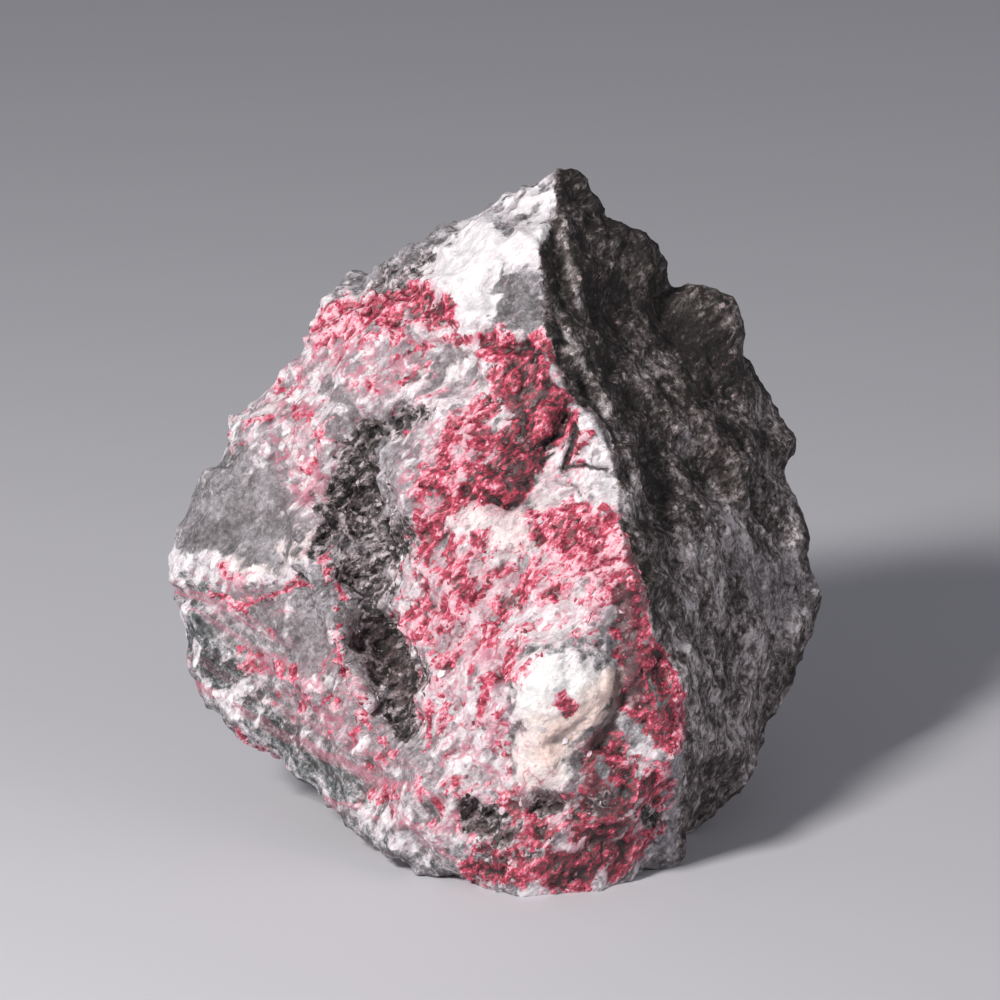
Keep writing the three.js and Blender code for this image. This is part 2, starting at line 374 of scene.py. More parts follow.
@dataclass(frozen=True)
class Patch:
    """One patch or vein on the front: a line on the face-on plane with a width."""

    name: str
    line: Line
    half: float
    amount: float

    EDGE = 0.3
    EDGE_OF_HALF = 0.4

    def away(self, at: Points, reach: float) -> Points:
        """Distance to the line.

        Args:
            at: rows of right, up.
            reach: the distance past which it doesn't matter.

        Returns:
            Millimetres for each point, or infinity for points far off.
        """
        low, high = np.min(self.line, axis=0) - reach, np.max(self.line, axis=0) + reach
        near = np.flatnonzero(((at > low) & (at < high)).all(axis=1))
        distance = np.full(len(at), np.inf)
        distance[near] = distance_to_line(at[near], self.line)
        return distance

    def share(self, at: Points) -> Points:
        """How much of the patch's mineral there is at rows of right, up."""
        soft = self.EDGE + self.EDGE_OF_HALF * self.half
        return self.amount * (1.0 - eased(self.away(at, self.half + soft), self.half - soft, self.half + soft))


CREST: Line = (
    (28.3, 8.0), (28.3, 13.2), (29.4, 20.6), (29.4, 29.6), (27.2, 35.5), (24.5, 39.3), (23.2, 46.0), (21.6, 51.9),
    (19.5, 56.0), (19.6, 60.9), (18.9, 66.5), (17.6, 70.5), (15.2, 74.3), (13.0, 74.6), (11.2, 77.6), (9.3, 82.2),
    (7.6, 86.4), (7.8, 90.6), (7.4, 94.8), (6.9, 99.0), (8.2, 102.5), (9.6, 104.4), (9.3, 108.6), (9.9, 113.0),
)

PATCHES: dict[Mineral, tuple[Patch, ...]] = {
    Mineral.CALCITE: (
        Patch("apex tip", ((9, 110.5), (5, 105), (-1, 99.5)), 6.3, 0.55),
        Patch("apex face", ((-1, 98.5), (-7, 93)), 6.0, 1.0),
        Patch("inner apex face", ((8, 103.5), (5, 98), (-2.5, 93), (-7, 88)), 5.2, 1.0),
        Patch("skirt of the apex", ((-7, 88), (-13, 85.5)), 3.0, 0.6),
        Patch("tail left of the upper red", ((-30.5, 86.5), (-33.5, 82)), 2.2, 0.6),
        Patch("upper streak", ((-8.5, 75), (-2.5, 79), (0, 82)), 3.4, 0.8),
        Patch("second streak", ((-7, 71.5), (-2.5, 74.5)), 3.0, 0.8),
        Patch("cracked lilac crust", ((12.5, 71.5), (15.5, 65.5), (17, 60)), 4.8, 0.82),
        Patch("inner lilac crust", ((7.5, 67), (11, 61)), 3.4, 0.85),
        Patch("creamy band", ((-3, 58), (2, 55.5), (9, 56.5)), 3.4, 0.95),
        Patch("band above the knob", ((3.5, 41), (11, 41.5), (16.5, 43)), 3.7, 0.9),
        Patch("knob", ((8.6, 30.4), (14.4, 29.8)), 6.0, 1.0),
        Patch("foot of the knob", ((8.6, 26), (7.6, 18)), 4.4, 1.0),
        Patch("beside the knob", ((-7, 33.5), (-8.5, 26.5), (-7, 18.5)), 3.7, 0.6),
        Patch("lip of the crust", ((-14, 49), (-13, 44.5)), 2.6, 0.8),
        Patch("upper flank net", ((-38, 73), (-30, 77.5), (-23.5, 73)), 1.9, 0.7),
        Patch("outer flank net", ((-39.5, 70), (-30, 65.5), (-31.5, 58), (-29, 52.5)), 2.1, 0.6),
        Patch("inner flank net", ((-23.5, 73), (-25, 65.5), (-30, 56.5)), 1.6, 0.6),
        Patch("rim net", ((-32, 82.5), (-19, 82), (-8.5, 85.5)), 1.5, 0.5),
        Patch("pale seam", ((-49.5, 50), (-41, 49.2), (-34, 49.6), (-30, 52.6), (-27, 54)), 2.7, 0.86),
        Patch("pale left rim", ((-48, 48), (-48, 39.5), (-40.5, 26.5), (-32, 19)), 0.9, 0.6),
        Patch("foot of the flank", ((-19, 11), (-8.5, 6.5)), 3.4, 0.5),
        Patch("lower right glint", ((23, 20), (26, 23.5)), 2.0, 0.75),
        Patch("left of the ringed spot", ((22.6, 14.4), (21.4, 12), (22, 9)), 0.8, 0.9),
        Patch("right of the ringed spot", ((24.6, 14.6), (26.4, 12.4), (25.8, 9.4)), 0.7, 0.8),
    ),
    Mineral.CINNABAR: (
        Patch("upper left patch", ((-25.5, 87), (-22, 88.5)), 3.4, 0.95),
        Patch("upper middle patch", ((-17.5, 90), (-12, 91.5), (-9, 89.5)), 3.4, 0.75),
        Patch("fringe of the upper patches", ((-22, 85), (-16, 87)), 1.9, 0.4),
        Patch("head of the crimson", ((0, 84), (4.5, 85.5), (8, 84)), 3.0, 0.8),
        Patch("deep crimson", ((5, 79), (8, 73), (3.5, 67), (0.5, 62.5)), 4.5, 1.0),
        Patch("left crimson", ((-4, 70), (-7, 64), (-10, 58.5), (-10, 53.5)), 3.7, 0.75),
        Patch("low crimson", ((-10, 53.5), (-5.5, 48), (2, 46), (8, 46.5)), 4.1, 0.6),
        Patch("rose patch", ((11, 55.5), (15, 52), (18.5, 48), (18.5, 53.5)), 4.5, 0.9),
        Patch("speckle", ((-13, 40), (-7, 43), (-2.5, 38.5), (2, 35)), 3.7, 0.6),
        Patch("low speckle", ((-8.5, 36.5), (-2.5, 35)), 2.6, 0.5),
        Patch("crest rim", ((20.5, 54), (22, 46), (22, 37), (23, 28)), 2.6, 0.85),
        Patch("wrap over the crest", ((26, 36.5), (27.5, 29.5), (27.5, 23.5)), 2.6, 0.85),
        Patch("spot on the knob", ((11.3, 29), (11.9, 27.4)), 1.0, 0.86),
        Patch("pink crust", ((10, 46), (15, 41)), 4.0, 0.36),
        Patch("streak left of the knob", ((2.2, 30), (1.6, 24), (2.4, 17)), 1.3, 0.42),
        Patch("lower right patch", ((17, 20.5), (18.5, 14.5), (15, 8.5)), 4.2, 0.8),
        Patch("lowest right patch", ((23.5, 17), (23, 11), (18.5, 6.5)), 3.7, 0.65),
        Patch("bottom strip", ((-2.5, 3.5), (5, 4), (12.5, 2.5), (19.5, 5.5)), 3.0, 0.85),
        Patch("patch under the knob", ((9, 11.5), (3.5, 9.5)), 3.0, 0.6),
        Patch("flank streak", ((-44, 46), (-39.4, 44), (-34.4, 45), (-31.6, 47.8), (-28.6, 46.4)), 0.5, 0.95),
        Patch("flank dot", ((-41.2, 49.8), (-40.6, 47.6)), 0.8, 0.95),
        Patch("streak of the flank", ((-38.6, 36.6), (-33, 34), (-28, 31)), 1.8, 0.5),
        Patch("flank ring", ((-33, 77.5), (-29, 73), (-30, 66), (-26.5, 62.5)), 0.9, 0.5),
        Patch("small ring", ((-22, 80.5), (-19.5, 76), (-22, 71.5)), 0.7, 0.45),
        Patch("thread beside the trench", ((-25.5, 52), (-24, 43), (-23.5, 35.5), (-21, 28)), 0.7, 0.75),
        Patch("foot of the thread", ((-21, 28), (-14.5, 20.5), (-8.5, 13)), 0.7, 0.75),
        Patch("flank thread", ((-37.5, 43), (-30, 33.5), (-23.5, 26), (-16, 18.5)), 1.0, 0.45),
        Patch("low rim", ((-39.5, 23.5), (-33.5, 18.5), (-30, 15.5)), 0.9, 0.7),
        Patch("rim thread", ((-13, 84), (-7, 85.5), (-2.5, 85)), 0.9, 0.5),
        Patch("rim dots", ((-36.5, 73), (-38, 70)), 0.7, 0.5),
    ),
    Mineral.SOOT: (
        Patch("upper branch", ((-10.8, 73.6), (-13.6, 73.2)), 1.7, 0.95),
        Patch("fork", ((-13.6, 73.2), (-15.2, 70.4), (-17.4, 70.6)), 0.9, 0.85),
        Patch("head of the trench", ((-18.6, 71), (-20.4, 68)), 2.3, 1.0),
        Patch("upper trench", ((-21.4, 65.5), (-20.6, 60.5)), 3.9, 0.95),
        Patch("outer wall", ((-23.6, 63.4), (-26, 58), (-26.4, 53)), 1.6, 0.95),
        Patch("middle of the trench", ((-21.6, 56), (-17.6, 53.6)), 4.2, 0.85),
        Patch("inner wall", ((-14.6, 56.4), (-14.2, 52.6)), 1.7, 1.0),
        Patch("narrowing trench", ((-21.6, 49.4), (-18.6, 47)), 3.5, 0.85),
        Patch("neck", ((-19.2, 44.6), (-18.2, 40.6)), 2.2, 0.9),
        Patch("lower trench", ((-17.6, 37), (-14.8, 33)), 4.1, 0.95),
        Patch("left of the lower trench", ((-21.6, 38.6), (-22, 34.4)), 1.3, 0.6),
        Patch("foot of the trench", ((-14.2, 29), (-13.6, 25)), 2.1, 0.9),
        Patch("stub on the rim", ((-17.5, 93.5), (-13.5, 96), (-10.5, 96.5)), 1.8, 0.62),
        Patch("low dark patch", ((-3, 11.5), (1.5, 9.5)), 2.4, 0.64),
        Patch("dark patch under the knob", ((5.5, 12.8), (10, 13.4)), 1.5, 0.7),
        Patch("brown in the lower right", ((20.4, 14.6), (16, 12.8)), 1.2, 0.5),
        Patch("pit in the bottom strip", ((4.6, 5.2), (6.4, 5)), 1.0, 0.6),
        Patch("pit beside the strip", ((-1.6, 5.4), (-0.6, 4.4)), 1.0, 0.6),
        Patch("dark green spot", ((24, 12), (23.8, 10.6)), 1.5, 1.0),
    ),
    # Darker stone. Along the trench's walls it is painted shade on the dark soot; the dark band of the flank and the
    # dark green spot are the stone's own colour.
    Mineral.MURK: (
        Patch("head of the trench", ((-19, 71), (-20.6, 66)), 2.4, 0.9),
        Patch("outer wall", ((-23.6, 63.4), (-26, 58), (-26.4, 52)), 1.8, 0.9),
        Patch("inner wall", ((-14.6, 56.4), (-14.2, 52)), 1.8, 1.0),
        Patch("neck", ((-18.4, 45), (-18, 40)), 2.0, 1.0),
        Patch("lower trench", ((-16.8, 38), (-12.4, 31), (-13.2, 26)), 2.6, 0.9),
        Patch("dark band of the flank", ((-46, 39), (-44, 35.6), (-39, 31), (-35.4, 27), (-31.5, 23.5)), 2.8, 1.0),
        Patch("inner band of the flank", ((-32, 40.5), (-26, 38), (-29, 30)), 2.4, 0.4),
        Patch("low edge of the flank", ((-38, 22), (-32, 18.6), (-29, 16)), 1.4, 0.8),
        Patch("hatched foot of the flank", ((-29, 21), (-24, 17.4), (-20, 14.6)), 3.0, 0.55),
        Patch("upper grey clast", ((2.4, 94), (5.6, 90.4)), 1.8, 0.6),
        Patch("low dark patch", ((-3, 11.5), (1.5, 9.5)), 2.6, 0.6),
        Patch("dark green spot", ((24, 12), (23.8, 10.6)), 1.6, 1.0),
    ),
    Mineral.STREAK: (
        Patch("lower flank", ((-46, 41), (-40, 34), (-32, 26), (-24, 18), (-14, 11)), 7.5, 1.0),
        Patch("foot of the flank", ((-24, 18), (-12, 13), (-6, 8)), 6.0, 0.8),
    ),
    Mineral.CLAST: (
        Patch("upper grey clast", ((3.2, 92.8), (4.8, 88.8)), 3.5, 1.0),
        Patch("band under the apex", ((2.4, 102), (6, 103.6), (9, 105)), 1.1, 0.55),
        Patch("ringed grey spot", ((16.8, 18.4), (17.4, 17)), 1.5, 0.9),
        Patch("ringed clast", ((-25.5, 76), (-23.5, 73)), 3.0, 0.6),
        Patch("grey hollow", ((-10, 80.5), (-5.5, 80.5), (-7, 77.5)), 3.0, 0.5),
        Patch("smooth flank", ((-43.5, 56.5), (-39, 58.5), (-34.5, 54), (-37.5, 62.5)), 4.5, 1.0),
        Patch("inner lower flank", ((-38, 41.5), (-30, 38.5)), 3.2, 0.75),
        Patch("foot of the flank", ((-25.5, 19), (-21.5, 16.5)), 3.0, 0.7),
        Patch("grey foot of the crust", ((-15, 22), (-10, 14)), 3.6, 0.5),
    ),
    Mineral.CRACK: (
        Patch("long crack", ((12.9, 71.4), (12.0, 68.2), (11.0, 65.2)), 0.45, 1.0),
        Patch("branch", ((10.6, 65.2), (14, 65.5), (18, 65)), 0.3, 0.9),
        Patch("short crack", ((7.4, 66.2), (9.4, 67.4)), 0.3, 0.9),
        Patch("shadow under the crimson", ((5.2, 67.6), (8, 69.2), (10.6, 70.2)), 0.4, 0.7),
        Patch("low crack", ((9.8, 63.4), (13, 62.2), (14.2, 59.4)), 0.25, 0.6),
    ),
    Mineral.NET: (
        Patch("upper flank", ((-18, 84), (-28, 76), (-31, 64)), 8.0, 1.0),
        Patch("head of the crust", ((-8, 82), (-8, 72), (-10, 62)), 6.0, 0.8),
        Patch("lower crust", ((-8, 42), (-4, 30), (-2, 18), (6, 10)), 9.0, 0.8),
        Patch("right crust", ((12, 58), (14, 44)), 5.0, 0.6),
        Patch("lower flank", ((-38, 44), (-28, 32), (-20, 22), (-10, 12)), 6.0, 0.9),
    ),
    # Darker crimson. The deep crimson in the middle is the ore's own colour; the crest rim and the lower right are
    # mostly painted shade, where the lump turns away from the light.
    Mineral.DEEP: (
        Patch("deep crimson", ((6, 80), (8, 74), (4, 67), (1, 62)), 4.5, 1.0),
        Patch("crest rim", ((22, 44), (24, 34), (25, 24)), 3.0, 0.8),
        Patch("lower right", ((15, 22), (18, 14), (12, 5)), 7.0, 1.0),
        Patch("bottom strip", ((-2, 4), (6, 5)), 4.0, 0.7),
        Patch("right of the upper patch", ((-14, 91), (-9, 89)), 3.0, 0.5),
        Patch("low crimson", ((-10, 56), (-6, 49)), 3.0, 0.4),
    ),
    Mineral.VIVID: (
        Patch("upper left patch", ((-26, 87), (-21.4, 87.6)), 2.6, 1.0),
        Patch("upper middle patch", ((-14.5, 91), (-12.5, 88.5)), 2.4, 0.6),
        Patch("rose patch", ((11.5, 49), (16.5, 48.5), (18.4, 52.5)), 3.2, 0.9),
        Patch("flank dot", ((-41, 49), (-40.5, 46.5)), 1.4, 0.8),
        Patch("above the knob", ((5, 41), (9, 38)), 2.4, 0.6),
    ),
    Mineral.SMOOTH: (
        Patch("knob", ((8.6, 30.6), (14.2, 30)), 5.4, 1.0),
        Patch("foot of the knob", ((8.4, 26), (7.4, 19)), 3.6, 0.6),
    ),
    # Peach tint. Right of the knob and at its foot it is painted shade on the knob's shaded right and lower side; the
    # cream band and the pale seam are the calcite's own cream.
    Mineral.CREAM: (
        Patch("right of the knob", ((8.6, 21), (10.4, 24), (14, 26), (17.4, 29), (18.4, 32)), 2.6, 1.0),
        Patch("foot of the knob", ((7.8, 25), (7, 18)), 3.6, 0.55),
        Patch("cream band", ((-3, 58), (2, 55.5), (9, 56.5)), 3.4, 0.45),
        Patch("pale seam", ((-40, 50.5), (-31, 52), (-27, 54)), 2.0, 0.4),
    ),
    # Dark brown, partly stain and partly painted shade: the cut edges of the crust and the stain beside the crest are
    # brown stain, the other patches are painted shade in the crest rim's seam, round the knob, in the trench and low
    # on the front.
    Mineral.RUST: (
        Patch(
            "cut edge of the crust", ((9.8, 83), (12, 77.8), (15.8, 74), (18.4, 70), (19.8, 66), (20.4, 60)), 1.1, 0.9
        ),
        Patch("low cut edge", ((20.2, 60), (20.8, 55), (22.6, 50), (23.6, 44)), 1.1, 0.9),
        Patch("stain beside the crest", ((21.4, 62), (22.6, 54), (25, 46), (27.4, 39)), 1.7, 0.5),
        Patch("left of the lower trench", ((-22.5, 42), (-21.5, 36), (-19, 33)), 1.8, 0.5),
        Patch("lower trench", ((-18.5, 39), (-14, 31)), 3.4, 0.45),
        Patch("seam in the crest rim", ((19.8, 46), (20.8, 40), (21.4, 34), (22, 29)), 1.3, 0.9),
        Patch("lower right", ((14.4, 22.4), (14, 16), (18, 12)), 2.4, 0.5),
        Patch("right of the knob", ((19.6, 33), (18.8, 27), (15.6, 22.6)), 1.0, 0.8),
        Patch("under the knob", ((4, 13.5), (11, 13.5)), 1.8, 0.6),
        Patch("round the low dark patch", ((-5, 13), (-1, 8.4), (4, 8)), 1.6, 0.5),
    ),
}

GROUNDS: dict[Mineral, tuple[Patch, ...]] = {
    Mineral.CALCITE: (
        Patch("crust", ((-3, 82), (2, 66), (-2, 50), (0, 34), (4, 16), (8, 8)), 15.0, 0.72),
        Patch("upper flank", ((-22, 84), (-32, 72), (-30, 60)), 11.0, 0.5),
        Patch("lower flank", ((-36, 40), (-26, 26), (-14, 16)), 9.0, 0.24),
    ),
    Mineral.CINNABAR: (
        Patch("crust", ((-2, 78), (2, 62), (-3, 48), (-2, 30), (6, 12)), 13.0, 0.33),
        Patch("upper flank", ((-22, 84), (-32, 72), (-30, 60)), 10.0, 0.2),
        Patch("lower flank", ((-32, 36), (-20, 20), (-10, 12)), 7.0, 0.2),
    ),
}

RIBS: tuple[Patch, ...] = (
    Patch("upper pale rib", ((10.6, 103.8), (11.4, 99), (12.4, 94.8), (13.6, 91)), 0.8, 0.95),
    Patch("pale rib", ((8.8, 91), (10.9, 87), (13, 82.2), (15.4, 78.4), (17.8, 74.2)), 0.65, 0.9),
    Patch("low pale rib", ((17.8, 74.2), (19.8, 70.2), (21, 66.6), (22.4, 62.4)), 0.8, 0.95),
    Patch("node of the rib", ((22, 63), (22, 57.6)), 1.3, 1.0),
)

LIGHTER_BREAK: tuple[Patch, ...] = (
    # The shell scar and its edge are partly painted light on paler stone: lighter where the dished scar faces up out
    # of the shade.
    Patch("shell scar", ((26, 80), (30, 74), (33, 67), (36, 62)), 3.2, 0.5),
    Patch("edge of the scar", ((32.4, 72.6), (36.4, 66.4), (37.8, 60)), 0.8, 0.75),
    Patch("right edge", ((41, 74), (45, 66), (47, 58)), 3.4, 0.5),
    Patch("middle of the break", ((36, 54), (42, 51), (45, 46)), 6.5, 0.8),
    Patch("lower break", ((34, 42), (37, 34), (34, 27)), 7.0, 0.6),
    Patch("second lump", ((30, 93.4), (32, 91)), 1.2, 0.6),
    Patch("beside the crest", ((30, 50), (31, 36), (32, 24)), 2.4, 0.35),
)

DARKER_BREAK: tuple[Patch, ...] = (
    Patch("face beside the crest", ((9, 101), (9.6, 93), (10.5, 84), (14, 77.5), (17.8, 72), (20, 64)), 2.2, 1.0),
    # Painted shade: the valley of the break is darkened where the rib beside it shades it.
    Patch("valley of the break", ((16, 94), (18.5, 84), (21.5, 74), (24, 64), (25.5, 54)), 2.8, 0.5),
    Patch("rim of the apex", ((11, 110), (14.5, 106), (19, 102.5), (25.5, 98)), 2.2, 0.5),
    Patch("second lump", ((32, 90), (34, 80)), 5.0, 0.5),
)

FOLDS: tuple[Patch, ...] = (
    Patch("upper branch", ((-10.8, 73.6), (-14.4, 72.4)), 1.8, -1.4),
    Patch("upper trench", ((-18.6, 71), (-21, 66), (-21, 60)), 3.4, -2.4),
    Patch("trench", ((-21, 60), (-20.4, 55), (-19.4, 49)), 4.4, -2.4),
    Patch("neck", ((-19.4, 49), (-19.2, 45), (-18.2, 40)), 2.6, -2.2),
    Patch("low trench", ((-17.6, 38), (-14.8, 32), (-13.6, 25.5)), 3.2, -2.4),
    Patch("crust lip", ((-7, 74.5), (-11, 69), (-13.6, 64), (-12.6, 58)), 2.0, 1.2),
    Patch("inner lip", ((-11.4, 57), (-11.2, 50), (-13.4, 46)), 1.6, 1.3),
    Patch("low crust lip", ((-14, 44), (-11.6, 40), (-8.6, 34), (-8.6, 26)), 2.0, 1.2),
    Patch("flank lip", ((-16, 77), (-24, 70.5), (-28.5, 61), (-29.6, 50.5), (-25.6, 41)), 2.2, 0.7),
    Patch("lip of the lower trench", ((-24, 36), (-22, 30), (-17.4, 25.5)), 1.3, 1.0),
    Patch("ledge of the apex face", ((-13, 86.4), (-7, 88.5), (-1, 88.2), (3, 86), (8, 86.4)), 1.5, 1.2),
    Patch("hollow under the ledge", ((-12, 83), (-6, 84.6), (0, 84.4), (6, 83.4)), 1.3, -1.3),
    Patch("grey clast", ((2.8, 92.4), (4.2, 89.6)), 3.4, 0.9),
    Patch("groove left of the clast", ((1.5, 97), (-1.4, 93), (-0.6, 88.4)), 0.9, -0.9),
    Patch("step under the apex", ((2, 102), (6, 103.4), (9.4, 105)), 0.9, -0.8),
    Patch("knob", ((8.6, 30.4), (14.4, 29.8)), 4.6, 2.0),
    Patch("foot of the knob", ((8.4, 25), (7.6, 18.6)), 3.4, 1.3),
    Patch("groove round the knob", ((19.4, 36), (20.4, 30), (17.4, 23.4), (13.6, 19)), 1.2, -0.8),
    Patch("groove left of the knob", ((1, 35), (2, 28), (2.8, 21)), 1.4, -1.0),
    Patch("groove over the knob", ((4, 37.4), (10, 37), (16, 37.4)), 1.2, -0.4),
    Patch("cream lump", ((-3, 58), (2, 55.5), (9, 56.5)), 2.5, 1.1),
    Patch("groove over the cream lump", ((-4, 61.4), (3, 59.6), (9, 60.4)), 1.1, -1.1),
    Patch("crimson ridge", ((8, 82), (9, 77), (8, 71), (4, 65.5), (0, 62)), 2.4, 1.3),
    Patch("grey hollow", ((-4, 80), (-8.5, 78.5)), 3.2, -1.6),
    Patch("cracked block", ((13.6, 70), (16.4, 65), (17, 60)), 2.8, 1.3),
    Patch("groove left of the block", ((10.5, 72), (8, 67.6), (5.6, 63)), 1.0, -1.0),
    Patch("crest rim", ((20, 54), (21.6, 46), (23, 37), (25, 28)), 2.0, 0.9),
    Patch("hollow of the speckled crust", ((2, 48), (4, 43), (-2, 38)), 2.6, -1.1),
    Patch("lower right lump", ((15, 18), (18.5, 13)), 3.2, 1.3),
    Patch("lowest lump", ((4, 8), (10, 6.5)), 2.4, 1.1),
    Patch("low hollow", ((-3, 12), (1, 11), (10, 13.4)), 1.8, -1.3),
    Patch("upper rib", RIBS[0].line, 0.9, 0.9),
    Patch("rib", RIBS[1].line, 0.9, 0.9),
    Patch("low rib", RIBS[2].line, 0.9, 0.8),
    Patch("groove beside the ribs", ((9.4, 102), (9.6, 95), (10.2, 84), (15, 76.2), (19, 70)), 1.2, -0.9),
    Patch("valley of the break", ((16, 93), (19, 82), (23.5, 70), (25, 58)), 2.6, -1.6),
    Patch("ridge to the scar", ((16.5, 86), (23.5, 77), (29.5, 71), (37, 66)), 1.8, 1.0),
    Patch("scar", ((27, 75), (31, 69), (34, 62)), 3.0, -1.1),
    Patch("edge of the scar", ((32.4, 72.6), (36.8, 66.4), (38.4, 60)), 1.0, 1.0),
    Patch("upper lump", ((19, 100.5), (23, 98.5)), 3.0, 1.2),
    Patch("second lump", ((32, 91), (36, 87)), 4.0, 0.4),
    Patch("gap between the lumps", ((26.5, 96.5), (26, 89), (29, 82)), 1.9, -1.0),
    Patch("furrow of the break", ((40.4, 75), (43, 64)), 1.6, -0.6),
    Patch("notch over the upper lump", ((13.6, 108), (16.6, 104.6), (18, 103.4)), 1.5, -1.3),
    Patch("swell of the lower break", ((35, 46), (34, 36)), 8.0, 0.9),
    Patch("crease of the apex face", ((6, 108.6), (1, 103), (-4, 98)), 1.3, -0.9),
    Patch("swell of the apex face", ((5, 98.6), (-1, 95)), 2.8, 1.0),
    Patch("seam of the flank", ((-48, 45.8), (-40, 45.4), (-32, 47)), 1.2, -0.9),
    Patch("swell of the upper flank", ((-36, 64), (-30, 70)), 4.0, 0.8),
)


@dataclass(frozen=True)
class Break:
    """How one material breaks: how deep its scoops are, then tilt and step of the smaller planes."""

    scoops: tuple[float, float, float]
    chips: float
    clumps: Band
    grains: Band


BREAKS: dict[str, Break] = {
    "crust": Break((0.22, 0.30, 0.38), 0.48, (0.16, 0.12), (0.12, 0.06)),
    "cinnabar": Break((0.22, 0.34, 0.42), 0.60, (0.30, 0.24), (0.30, 0.18)),
    "calcite": Break((0.24, 0.34, 0.38), 0.36, (0.06, 0.04), (0.03, 0.02)),
    "clast": Break((0.18, 0.18, 0.12), 0.08, (0.03, 0.02), (0.02, 0.01)),
    "soot": Break((0.15, 0.34, 0.45), 0.60, (0.42, 0.42), (0.40, 0.26)),
    "hackly": Break((0.12, 0.22, 0.34), 0.36, (0.12, 0.09), (0.06, 0.03)),
}


@dataclass
class Cells:
    """The cells of the break, which the colours and the relief share."""

    faces: tuple[Facets, ...]
    scoops: tuple[Points, ...]
    chips: Points
    clumps: Facets
    grains: Facets

    SEED = 31
    BROAD_WARP = (9.0, 1.2)
    FINE_WARP = (2.4, 0.4)
    FACE_SIZES = (13.0, 7.0)
    FACE_SHIFT = 7.0
    SCOOP_SIZES = (14.0, 7.5, 3.8)
    SCOOP_SHIFT = 9.0
    CHIP_SIZE, CHIP_SHIFT = 2.0, 11.0
    CLUMP_SIZE, CLUMP_SHIFT = 1.7, 23.0
    GRAIN_SIZE, GRAIN_SHIFT = 0.95, 41.0

    @classmethod
    def over(cls, points: Points) -> "Cells":
        """Lays the cells out over rows of x, y, z in millimetres."""
        noise = Noise(cls.SEED)
        broad = noise.warped(points, *cls.BROAD_WARP)
        fine = noise.warped(points @ GROWTH, *cls.FINE_WARP)
        return cls(
            tuple(noise.facets(broad + cls.FACE_SHIFT * size, size) for size in cls.FACE_SIZES),
            tuple(noise.scoops(broad + cls.SCOOP_SHIFT * size, size) for size in cls.SCOOP_SIZES),
            noise.scoops(fine + cls.CHIP_SHIFT, cls.CHIP_SIZE),
            noise.facets(fine + cls.CLUMP_SHIFT, cls.CLUMP_SIZE),
            noise.facets(fine + cls.GRAIN_SHIFT, cls.GRAIN_SIZE),
        )


@dataclass(frozen=True)
class Settling:
    """How one mineral's share turns into grains: what sways it, and how softly it ends."""

    sways: dict[str, float]
    soft: float


SETTLINGS: dict[Mineral, Settling] = {
    Mineral.CINNABAR: Settling({"drift": 0.5, "clump own": 0.3, "grain other": 0.35}, 0.32),
    Mineral.CALCITE: Settling({"sway": 0.6, "drift": -0.2, "clump other": 0.2}, 0.36),
    Mineral.SOOT: Settling({"sway": 0.45, "drift": 0.3, "grain own": 0.3}, 0.2),
}


